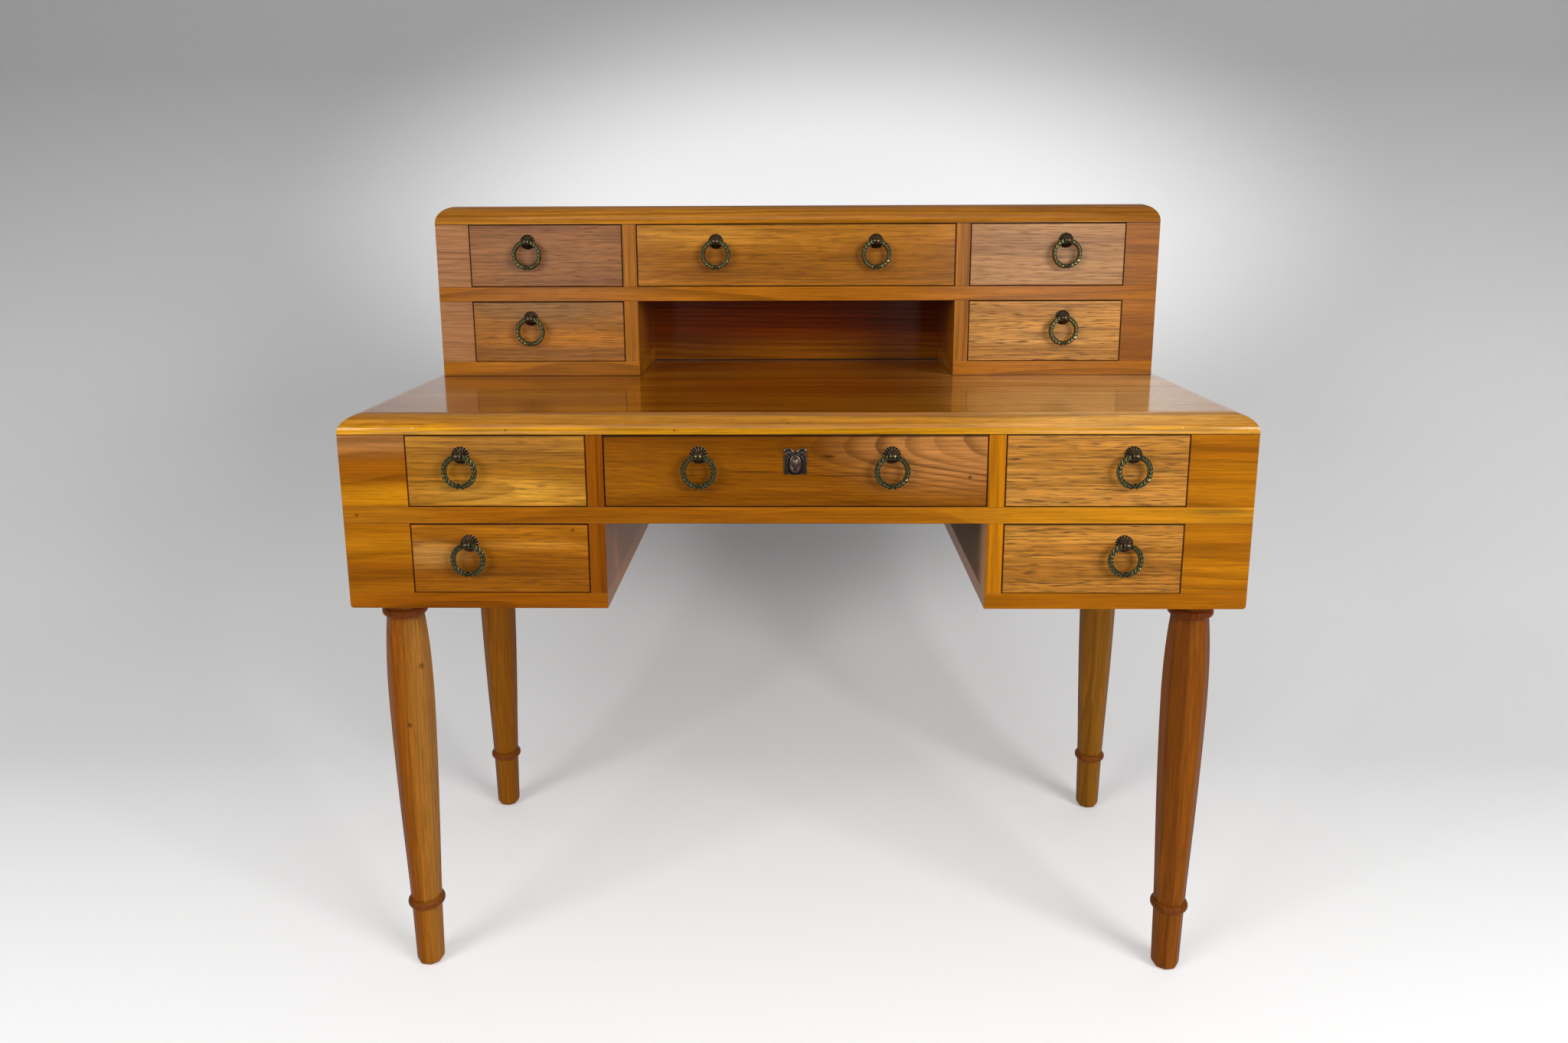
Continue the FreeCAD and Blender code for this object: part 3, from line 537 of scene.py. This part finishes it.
def circle(count):
    """An outline of one unit's radius."""
    angles = [math.tau * step / count for step in range(count)]
    return [(math.cos(angle), math.sin(angle)) for angle in angles]


def cast_plate(mesh, centre, inner, outer, height, rings, spokes):
    """A closed plate round a hole, facing forward. Inner and outer give its edges at an angle, as (across,
    up), and height how far its face stands out at a share of the way from the one to the other."""
    front = []
    for ring in range(rings + 1):
        share = ring / rings
        loop = []
        for spoke in range(spokes):
            angle = math.tau * spoke / spokes
            near, far = Vector(inner(angle)), Vector(outer(angle))
            across, up = near.lerp(far, share)
            loop.append(mesh.verts.new(centre + Vector((across, -height(share, angle), up))))
        front.append(loop)
    back = []
    for loop in (front[-1], front[0]):
        back.append([mesh.verts.new((vert.co.x, centre.y, vert.co.z)) for vert in loop])
    shells = front + back
    for here, there in zip(shells, shells[1:] + shells[:1]):
        for spoke in range(spokes):
            after = (spoke + 1) % spokes
            mesh.faces.new((here[spoke], here[after], there[after], there[spoke]))


sharp_angle = math.radians(50)


def make_piece(name, mesh, material, slot, *stood_for):
    """Turns a mesh into a piece that stands for frame nodes and rides on their body."""
    bmesh.ops.recalc_face_normals(mesh, faces=mesh.faces)
    data = bpy.data.meshes.new(name)
    mesh.to_mesh(data)
    mesh.free()
    data.polygons.foreach_set("use_smooth", [True] * len(data.polygons))
    data.set_sharp_from_angle(angle=sharp_angle)
    data.materials.append(material)
    made = bpy.data.objects.new(name, data)
    bpy.context.scene.collection.objects.link(made)
    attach(made, nodes[stood_for[0]]["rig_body"])
    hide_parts(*stood_for)
    return made


petals = 16
petal_depth = 1.3 * mm
petal_tip = 0.07
rosette_thickness = 3.4 * mm
groove_depth = 0.7 * mm
groove_share = 0.2
hub_radius = 2.2 * mm
neck_root = 1.5 * mm
neck_radii = ((0.0, 4.2 * mm), (0.4, 3.2 * mm), (1.0, 3.0 * mm))
eye_outer = 4.9 * mm
eye_bore = 3.1 * mm
eye_width = 6.6 * mm


def petal_crest(angle):
    """1 along the middle of a petal, 0 between two."""
    return abs(math.cos(petals * angle / 2)) ** 0.7


def rosette(mesh, pivot, face_y, radius):
    """One fluted plate against the drawer, a neck, and the eye round the pivot."""

    def rim(angle):
        reach = radius * (1 - petal_tip + petal_tip * petal_crest(angle))
        return reach * math.cos(angle), reach * math.sin(angle)

    def hub(angle):
        return hub_radius * math.cos(angle), hub_radius * math.sin(angle)

    def relief(share, angle):
        dome = rosette_thickness * (1 - 0.72 * share ** 2.4)
        fluted = min(1.0, max(0.0, (share - 0.22) / 0.2))
        groove = groove_depth * math.exp(-((share - groove_share) / 0.07) ** 2)
        return dome - petal_depth * fluted * (1 - petal_crest(angle)) - groove

    cast_plate(mesh, Vector((pivot.x, face_y, pivot.z)), hub, rim, relief, 12, petals * 8)
    across, up, forward = Vector((1, 0, 0)), Vector((0, 0, 1)), Vector((0, -1, 0))
    neck_end = pivot.y + (eye_outer + eye_bore) / 2
    neck = []
    for share, size in neck_radii:
        y = face_y - neck_root + (neck_end - face_y + neck_root) * share
        neck.append((Vector((pivot.x, y, pivot.z)), across * size, up * size))
    sweep(mesh, neck, circle(20), False)
    half = eye_width / 2
    band = [
        (-half, 0.84 * eye_outer), (-0.55 * half, 0.97 * eye_outer), (0, eye_outer),
        (0.55 * half, 0.97 * eye_outer), (half, 0.84 * eye_outer),
        (half, 1.06 * eye_bore), (0, eye_bore), (-half, 1.06 * eye_bore),
    ]
    turn = []
    for out_share, up_share in circle(28):
        turn.append((pivot, across, forward * out_share + up * up_share))
    sweep(mesh, turn, band, True)


rosette_bronze = patinated_bronze("Patinated bronze rosette", "#4e4028", "#4c3c36", "#c4b282")
pulls = {}
for drawer in drawer_fronts:
    stem = drawer.replace("_drawer", "")
    pulls[stem] = [name for name in nodes if name.startswith(stem + "_ring")]
for stem, rings in pulls.items():
    plate_low, plate_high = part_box(stem + "_rosette")
    mesh = bmesh.new()
    for ring in rings:
        ring_low, ring_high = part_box(ring)
        pivot = (ring_low + ring_high) / 2
        pivot.z = ring_high.z - (ring_high.y - ring_low.y) / 2
        rosette(mesh, pivot, plate_high.y, (plate_high.z - plate_low.z) / 2)
    make_piece(stem + "_rosette_cast", mesh, rosette_bronze, "patinated_bronze", stem + "_rosette")

# Rings of the pulls
# A wreath of laurel leaves cast in bronze round a plain core, tied at the bottom by two crossed bands. It
# hangs in the rosette's eye by a bare stretch of the core, and swings up to pull the drawer.
leaf_length = 8.0 * mm
leaf_half_width = 2.0 * mm
leaf_thickness = 0.8 * mm
leaf_rows = 9
leaf_starts = {"front": (82, 98), "side": (0, 180), "back": (262, 278)}
leaf_splay = 34
bare_angle = math.radians(17)
band_lean = math.radians(11)
leaf_widths = (0.2, 0.75, 1.0, 0.9, 0.55, 0.08)
leaf_lifts = (-0.5, 0.1, 0.5, 0.75, 0.9, 0.85)
leaf_outline = (
    (-1, 0), (-0.5, 0.55), (-0.12, 0.7), (0, 1.0), (0.12, 0.7), (0.5, 0.55), (1, 0), (0, -0.5),
)
core_share = 0.66
band_off = 1.1 * mm
band_half = 0.9 * mm
band_thickness = 0.6 * mm


def laurel_ring(mesh, centre, radius, wire_radius):
    """The wreath round its centre, upright and facing forward. Angles round the wire start outside."""
    forward = Vector((0, -1, 0))
    core_radius = wire_radius * core_share

    def outward(turn):
        """Away from the ring's centre, at an angle from the top."""
        return Vector((math.sin(turn), 0, math.cos(turn)))

    def leaf(root, hand, begin, end):
        """One leaf that grows up from its root, and leans from one angle round the wire to another."""
        stations = []
        for step, (width, lift) in enumerate(zip(leaf_widths, leaf_lifts)):
            share = step / (len(leaf_widths) - 1)
            away = outward(hand * (root - leaf_length / radius * share))
            round_wire = math.radians(begin + (end - begin) * share)
            normal = away * math.cos(round_wire) + forward * math.sin(round_wire)
            aside = forward * math.cos(round_wire) - away * math.sin(round_wire)
            at = centre + away * radius + normal * (core_radius + lift * leaf_thickness)
            thick = leaf_thickness * (0.4 + 0.6 * width)
            stations.append((at, aside * leaf_half_width * width, normal * thick))
        sweep(mesh, stations, leaf_outline, False)

    core = []
    for share_x, share_z in circle(72):
        away = Vector((share_x, 0, share_z))
        core.append((centre + away * radius, away * core_radius, forward * core_radius))
    sweep(mesh, core, circle(12), True)
    lowest = math.pi - band_lean * 0.6
    row_step = (lowest - leaf_length / radius - bare_angle) / (leaf_rows - 1)
    for hand in (-1, 1):
        for row in range(leaf_rows):
            root = lowest - row_step * row
            for near, far in (leaf_starts["front"], leaf_starts["back"]):
                leaf(root, hand, near, near - leaf_splay)
                leaf(root, hand, far, far + leaf_splay)
            for side in leaf_starts["side"]:
                leaf(root - row_step / 2, hand, side, side)
    for lean in (-band_lean, band_lean):
        band = []
        for cosine, sine in circle(24):
            away = outward(math.pi + lean * cosine)
            normal = away * cosine + forward * sine
            at = centre + away * radius + normal * (core_radius + band_off)
            along = Vector((away.z, 0, -away.x))
            band.append((at, along * band_half, normal * band_thickness))
        sweep(mesh, band, circle(8), True)


ring_bronze = patinated_bronze("Patinated bronze laurel ring", "#2e2a16", "#26321c", "#ccc08a")
for rings in pulls.values():
    for ring in rings:
        ring_low, ring_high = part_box(ring)
        wire_radius = (ring_high.y - ring_low.y) / 2
        radius = (ring_high.z - ring_low.z) / 2 - wire_radius
        mesh = bmesh.new()
        laurel_ring(mesh, (ring_low + ring_high) / 2, radius, wire_radius)
        make_piece(ring + "_laurel", mesh, ring_bronze, "patinated_bronze", ring)

# Escutcheon
# A ribbon tied in a bow, cast in bronze, that frames the keyhole of the middle drawer: two loops and a knot
# over a round-cornered plate, with folds and beads down each side. Its pin carries the cover.
plate_low, plate_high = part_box("escutcheon")
keyhole_at = Vector((0, plate_high.y, (plate_low.z + plate_high.z) / 2))
cover_low, cover_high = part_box("keyhole_cover")
cover_at = Vector((0, cover_high.y, (cover_low.z + cover_high.z) / 2))
plate_down = cover_at.z - keyhole_at.z
plate_half_width = 11.6 * mm
plate_half_height = 13.2 * mm
plate_squareness = 3.2
plate_thickness = 0.8 * mm
plate_rim = 1.1 * mm
hole_radius = 2.5 * mm
slit_half = 1.1 * mm
slit_length = 6.0 * mm


def keyhole_edge(angle):
    """A round hole with a slit under it."""
    across, up = math.cos(angle), math.sin(angle)
    reach = hole_radius
    if up < 0:
        reach = max(reach, min(slit_length / -up, slit_half / max(abs(across), 1e-6)))
    return reach * across, reach * up


def plate_edge(angle):
    """The plate under the ribbons: a square with very round corners, lower than the keyhole's middle."""
    across, up = math.cos(angle), math.sin(angle)
    reach = (abs(across) ** plate_squareness + abs(up) ** plate_squareness) ** (-1 / plate_squareness)
    return plate_half_width * reach * across, plate_down + plate_half_height * reach * up


def plate_relief(share, angle):
    """Thin and flat, with one rim round the place of the cover."""
    return plate_thickness + plate_rim * math.exp(-((share - 0.62) / 0.09) ** 2)


ribbon_section = (
    (-1, 0), (-0.95, 0.7), (-0.55, 1), (-0.2, 0.72), (0.2, 0.72), (0.55, 1), (0.95, 0.7), (1, 0),
)


def ribbon(mesh, points, half_width, low, high, closed=False):
    """A cast ribbon along points given as (across, up) from the keyhole, between two heights off the wood.
    An open one narrows at its ends."""
    forward = Vector((0, -1, 0))
    stations = []
    count = len(points)
    for index, (x, z) in enumerate(points):
        before = points[(index - 1) % count if closed else max(index - 1, 0)]
        after = points[(index + 1) % count if closed else min(index + 1, count - 1)]
        run = Vector((after[0] - before[0], 0, after[1] - before[1])).normalized()
        aside = Vector((run.z, 0, -run.x))
        at = keyhole_at + Vector((x, 0, z)) + forward * low
        width = half_width
        if not closed:
            width *= 0.35 + 0.65 * math.sin(math.pi * (index + 0.6) / (count + 0.2))
        stations.append((at, aside * width, forward * (high - low)))
    sweep(mesh, stations, ribbon_section, closed)


bead_radius = 0.95 * mm
bead_off = 0.9 * mm


def bead(mesh, x, z):
    """A round grain on the ribbon's edge, given from the keyhole."""
    grain = bmesh.ops.create_uvsphere(mesh, u_segments=10, v_segments=6, radius=bead_radius)["verts"]
    bmesh.ops.translate(mesh, verts=grain, vec=keyhole_at + Vector((x, -bead_off, z)))


# Places on the bow are counted from the keyhole, and the heights are those of a ribbon's two faces
loop_lean = math.radians(25)
loop_at = (7.5 * mm, 10.0 * mm)
loop_half_length = 3.7 * mm
loop_half_height = 2.5 * mm
loop_heights = (0.1 * mm, 1.9 * mm)
ribbon_half = 2.3 * mm
tail_steps = 16
tail_root = 3.4 * mm
tail_spread = 7.2 * mm
tail_wave = 0.8 * mm
tail_top = 8.2 * mm
tail_length = 24.4 * mm
tail_heights = (0.1 * mm, 1.8 * mm)
folds = 7
fold_points = ((8.0, -1.4), (9.8, -0.6), (11.4, 0.5), (12.8, 1.0))
fold_top = 4.2 * mm
fold_step = 2.9 * mm
fold_half = 1.3 * mm
fold_heights = (0.3 * mm, 2.0 * mm)
bead_at = (12.7 * mm, 0.3 * mm)
knot_rows = (6.4, 7.6, 8.8, 10.0, 11.0)
knot_half = 2.4 * mm
knot_heights = (0.1 * mm, 2.1 * mm)
pin_above_cover = 6.4 * mm
pin_radii = ((0.0, 1.1), (5.0, 1.1), (5.05, 1.8), (5.4, 1.75), (5.75, 1.3), (5.95, 0.5))
mesh = bmesh.new()
cast_plate(mesh, keyhole_at, keyhole_edge, plate_edge, plate_relief, 12, 72)
for hand in (-1, 1):
    loop = []
    for cosine, sine in circle(28):
        along, wide = loop_half_length * cosine, loop_half_height * sine
        loop.append((
            hand * (loop_at[0] + along * math.cos(loop_lean) - wide * math.sin(loop_lean)),
            loop_at[1] + along * math.sin(loop_lean) + wide * math.cos(loop_lean),
        ))
    ribbon(mesh, loop, ribbon_half, *loop_heights, closed=True)
    tail = []
    for step in range(tail_steps + 1):
        share = step / tail_steps
        aside = tail_spread * min(1.0, share * 3.2) ** 0.7 + tail_wave * math.sin(share * 9.0)
        tail.append((hand * (tail_root + aside), tail_top - tail_length * share))
    ribbon(mesh, tail, ribbon_half, *tail_heights)
    for step in range(folds):
        z = fold_top - fold_step * step
        fold = [(hand * x * mm, z + rise * mm) for x, rise in fold_points]
        ribbon(mesh, fold, fold_half, *fold_heights)
        bead(mesh, hand * bead_at[0], z + bead_at[1])
ribbon(mesh, [(0, row * mm) for row in knot_rows], knot_half, *knot_heights)
pin = []
for off, size in pin_radii:
    at = Vector((0, keyhole_at.y - off * mm, cover_at.z + pin_above_cover))
    pin.append((at, Vector((size * mm, 0, 0)), Vector((0, 0, size * mm))))
sweep(mesh, pin, circle(16), False)
escutcheon_bronze = patinated_bronze("Patinated bronze escutcheon", "#3c302a", "#3a3836", "#85786a")
make_piece("escutcheon_bow", mesh, escutcheon_bronze, "patinated_bronze", "escutcheon")

# Keyhole cover
# An oval drop of bronze with two raised rims and a ridged spindle in the middle, hung on the escutcheon's
# pin so that it falls over the keyhole by its own weight.
cover_half_width = (cover_high.x - cover_low.x) / 2
cover_half_height = (cover_high.z - cover_low.z) / 2
cover_thickness = 0.8 * mm
cover_rim = 0.4 * mm
cover_rims = ((0.93, 0.05), (0.74, 0.06))
spindle_shares = (0.52, 0.70)
spindle_height = 1.3 * mm
ridge_share = 0.08
centre_share = 0.02


def cover_edge(angle):
    return cover_half_width * math.cos(angle), cover_half_height * math.sin(angle)


def cover_centre(angle):
    across, up = cover_edge(angle)
    return centre_share * across, centre_share * up


def cover_relief(share, angle):
    """Steps over two rims to a spindle in the middle, with an upright ridge on it."""
    across, up = share * math.cos(angle), share * math.sin(angle)
    rims = sum(math.exp(-((share - middle) / spread) ** 2) for middle, spread in cover_rims)
    spindle = max(0.0, 1 - (across / spindle_shares[0]) ** 2 - (up / spindle_shares[1]) ** 2) ** 0.7
    ridge = 0.3 * math.exp(-(across / ridge_share) ** 2) * spindle
    return cover_thickness + cover_rim * rims + spindle_height * (spindle + ridge)


mesh = bmesh.new()
cast_plate(mesh, cover_at, cover_centre, cover_edge, cover_relief, 22, 96)
# The cover's bright colour is near white, a painted highlight along the spindle's ridge
cover_bronze = patinated_bronze("Patinated bronze keyhole cover", "#6a5248", "#60524a", "#f0e8dc")
make_piece("keyhole_cover_drop", mesh, cover_bronze, "patinated_bronze", "keyhole_cover")

# Lock
# A box lock of iron sheet, screwed behind the middle drawer's front. Its bolt slides up out of the lock
# case into a mortise in the desktop.
iron_tones = ("#5c5a57", "#4a3a2c")
rust_size = 14 * mm


def oiled_iron(name):
    """Rolled iron, oiled and dulled by age: dark grey with brown clouds."""
    material, tree = new_material(name)
    place = add(tree, "TexCoord").outputs["Object"]
    cloud = add(tree, "TexNoise", {"Vector": place, "Scale": 1 / rust_size, "Detail": 4.0}).outputs["Fac"]
    rust = add(tree, "MapRange", {0: cloud, 1: 0.45, 2: 0.7}).outputs[0]
    grey, brown = (linear(colour) for colour in iron_tones)
    tone = add(tree, "Mix", {0: rust, 6: grey, 7: brown}, data_type="RGBA").outputs[2]
    dullness = add(tree, "MapRange", {0: cloud, 3: 0.35, 4: 0.65}).outputs[0]
    shader = add(tree, "BsdfPrincipled", {"Base Color": tone, "Metallic": 0.9, "Roughness": dullness})
    add(tree, "OutputMaterial", {0: shader.outputs[0]})
    return material


dress(oiled_iron("Oiled iron lock"), "lock_case", "lock_bolt")

# Studio
# A pale seamless paper sweep that curves up close behind the desk, a large and a small lamp on either side
# in front, one high in front and one overhead, and the camera at the height of the gallery's top.
wall_y = 1.15
# The paper turns grey towards the top as painted shade
paper_low, paper_high = "#e8e8e8", "#a2a2a2"
paper_rise = (0.15, 1.3)
front_levels = (-0.3, -1.0)
front_mirrored = "#282828"
# A painted shadow of the desk, grey, behind the knee hole, and a painted pool of light behind the gallery:
# middle, stretch, far and near reach
knee_shade = ((0.02, wall_y, 0.36), (1.3, 1.7, 2.2), 1.0, 0.3)
knee_grey, knee_depth = "#969696", 0.8
gallery_glow = ((0.08, wall_y, 0.95), (1.0, 0.0, 2.3), 1.35, 0.4)
glow_strength = 0.45
floor_levels = (1.05, -0.6)
floor_strength = 0.36


def paper(name):
    """Matt paper: near white in the middle and on the floor, greyer towards the top corners as painted
    shade, with a painted shadow of the desk behind the knee hole. It looks brighter to the camera than it
    lights the desk, with painted pools of light behind the gallery and on the floor in front, and its front
    half looks dark in the polish."""
    material, tree = new_material(name)
    place = add(tree, "TexCoord").outputs["Object"]
    axes = add(tree, "SeparateXYZ", {0: place}).outputs
    seen = add(tree, "LightPath").outputs

    def soft_patch(middle, stretch, far, near, depth):
        off = add(tree, "VectorMath", {0: place, 1: middle}, operation="SUBTRACT").outputs[0]
        flat = add(tree, "VectorMath", {0: off, 1: stretch}, operation="MULTIPLY").outputs[0]
        reach = add(tree, "VectorMath", {0: flat}, operation="LENGTH").outputs["Value"]
        levels = {0: reach, 1: far, 2: near, 3: 0.0, 4: depth}
        return add(tree, "MapRange", levels, interpolation_type="SMOOTHSTEP").outputs[0]

    in_front = add(tree, "MapRange", {0: axes["Y"], 1: front_levels[0], 2: front_levels[1]}).outputs[0]
    mirrored = add(tree, "Math", {0: in_front, 1: seen["Is Glossy Ray"]}, operation="MULTIPLY").outputs[0]
    # Painted shade: the paper greyer the higher it rises
    rise = add(tree, "MapRange", {0: axes["Z"], 1: paper_rise[0], 2: paper_rise[1]}).outputs[0]
    pale, grey = linear(paper_low), linear(paper_high)
    tone = add(tree, "Mix", {0: rise, 6: pale, 7: grey}, data_type="RGBA").outputs[2]
    # A painted shadow of the desk on the paper behind the knee hole
    shade = soft_patch(*knee_shade, knee_depth)
    tone = add(tree, "Mix", {0: shade, 6: tone, 7: linear(knee_grey)}, data_type="RGBA").outputs[2]
    tone = add(tree, "Mix", {0: mirrored, 6: tone, 7: linear(front_mirrored)}, data_type="RGBA").outputs[2]
    lit = add(tree, "BsdfDiffuse", {"Color": tone})
    # A painted pool of light on the paper behind the gallery, seen by the camera and in the polish
    halo = soft_patch(*gallery_glow, glow_strength)
    # A painted pool of light on the floor, brightest in front, seen by the camera only
    levels = {0: axes["Y"], 1: floor_levels[0], 2: floor_levels[1], 3: 0.0, 4: floor_strength}
    ground = add(tree, "MapRange", levels, interpolation_type="SMOOTHSTEP").outputs[0]
    either = {0: seen["Is Camera Ray"], 1: seen["Is Glossy Ray"]}
    either = add(tree, "Math", either, operation="MAXIMUM").outputs[0]
    extra = add(tree, "Math", {0: ground, 1: seen["Is Camera Ray"]}, operation="MULTIPLY").outputs[0]
    extra = add(tree, "Math", {0: halo, 1: either, 2: extra}, operation="MULTIPLY_ADD").outputs[0]
    bright = add(tree, "Emission", {"Color": (1, 1, 1, 1), "Strength": extra})
    front = add(tree, "AddShader", {0: lit.outputs[0], 1: bright.outputs[0]})
    clear = add(tree, "BsdfTransparent")
    behind = add(tree, "NewGeometry").outputs["Backfacing"]
    shader = add(tree, "MixShader", {0: behind, 1: front.outputs[0], 2: clear.outputs[0]})
    add(tree, "OutputMaterial", {0: shader.outputs[0]})
    return material


sweep_half = 3.6
sweep_front = -2.8
bend = 0.75
wall_top = 4.5
profile = [(sweep_front, 0.0)]
for step in range(17):
    angle = math.pi / 2 * step / 16
    profile.append((wall_y - bend + bend * math.sin(angle), bend - bend * math.cos(angle)))
profile.append((wall_y, wall_top))
mesh = bmesh.new()
rows = []
for y, z in profile:
    rows.append([mesh.verts.new((-sweep_half, y, z)), mesh.verts.new((sweep_half, y, z))])
for low, high in zip(rows, rows[1:]):
    mesh.faces.new((low[0], low[1], high[1], high[0]))
data = bpy.data.meshes.new("paper_sweep")
mesh.to_mesh(data)
mesh.free()
data.polygons.foreach_set("use_smooth", [True] * len(data.polygons))
data.materials.append(paper("Seamless paper"))
backdrop = bpy.data.objects.new("paper_sweep", data)
bpy.context.scene.collection.objects.link(backdrop)

lamps = {
    "right_softbox": ((2.3, -2.6, 1.7), (0.0, 0.0, 0.75), (1.5, 1.5), 92),
    "left_softbox": ((-2.3, -2.6, 1.8), (0.0, 0.0, 0.75), (1.5, 1.5), 58),
    "right_strip": ((0.98, -2.9, 0.85), (0.98, 0.0, 0.85), (0.65, 0.6), 4),
    "left_strip": ((-0.98, -2.9, 0.85), (-0.98, 0.0, 0.85), (0.65, 0.6), 2.5),
    "high_front": ((0.0, -2.2, 2.7), (0.0, 0.0, 0.5), (2.4, 1.4), 12),
    "overhead": ((0.0, -0.3, 3.2), (0.0, 0.1, 0.0), (3.0, 2.2), 6),
}
for lamp, (at, aim, size, watts) in lamps.items():
    light = bpy.data.lights.new(lamp, "AREA")
    light.shape = "RECTANGLE"
    light.size, light.size_y = size
    light.energy = watts
    holder = bpy.data.objects.new(lamp, light)
    holder.location = at
    holder.rotation_mode = "QUATERNION"
    holder.rotation_quaternion = (Vector(aim) - Vector(at)).to_track_quat("-Z", "Y")
    holder.visible_camera = False
    bpy.context.scene.collection.objects.link(holder)

world = bpy.data.worlds.new("studio")
world.use_nodes = True
world.node_tree.nodes.clear()
seen = add(world.node_tree, "LightPath").outputs
sky_light, sky_mirrored, sky_seen = 0.1, 0.03, 0.7
dim = add(world.node_tree, "MapRange", {0: seen["Is Glossy Ray"], 3: sky_light, 4: sky_mirrored})
dim = add(world.node_tree, "Math", {
    0: seen["Is Camera Ray"], 1: sky_seen, 2: dim.outputs[0],
}, operation="MULTIPLY_ADD")
sky = add(world.node_tree, "Background", {"Color": linear("#e6e6e6"), "Strength": dim.outputs[0]})
add(world.node_tree, "OutputWorld", {0: sky.outputs[0]})
bpy.context.scene.world = world

photo_width = 2048
photo_height = 1362
focal_px = 1496.9
axis_px = (1019.4, 593.7)
pitch, yaw, roll = 0.2075, -0.0166, 0.0039
stand = Vector((4.4, -1548.5, 976.2)) * mm
ahead = Vector((math.sin(yaw) * math.cos(pitch), math.cos(yaw) * math.cos(pitch), -math.sin(pitch)))
level = Vector((math.cos(yaw), -math.sin(yaw), 0))
down = ahead.cross(level)
right = level * math.cos(roll) + down * math.sin(roll)
up = level * math.sin(roll) - down * math.cos(roll)
camera = bpy.data.objects.new("camera", bpy.data.cameras.new("camera"))
camera.matrix_world = Matrix.Translation(stand) @ Matrix((right, up, -ahead)).transposed().to_4x4()
camera.data.sensor_fit = "HORIZONTAL"
camera.data.sensor_width = 36.0
camera.data.lens = focal_px / photo_width * camera.data.sensor_width
camera.data.shift_x = (photo_width / 2 - axis_px[0]) / photo_width
camera.data.shift_y = (axis_px[1] - photo_height / 2) / photo_width
bpy.context.scene.collection.objects.link(camera)
bpy.context.scene.camera = camera
bpy.context.scene.view_settings.view_transform = "Standard"
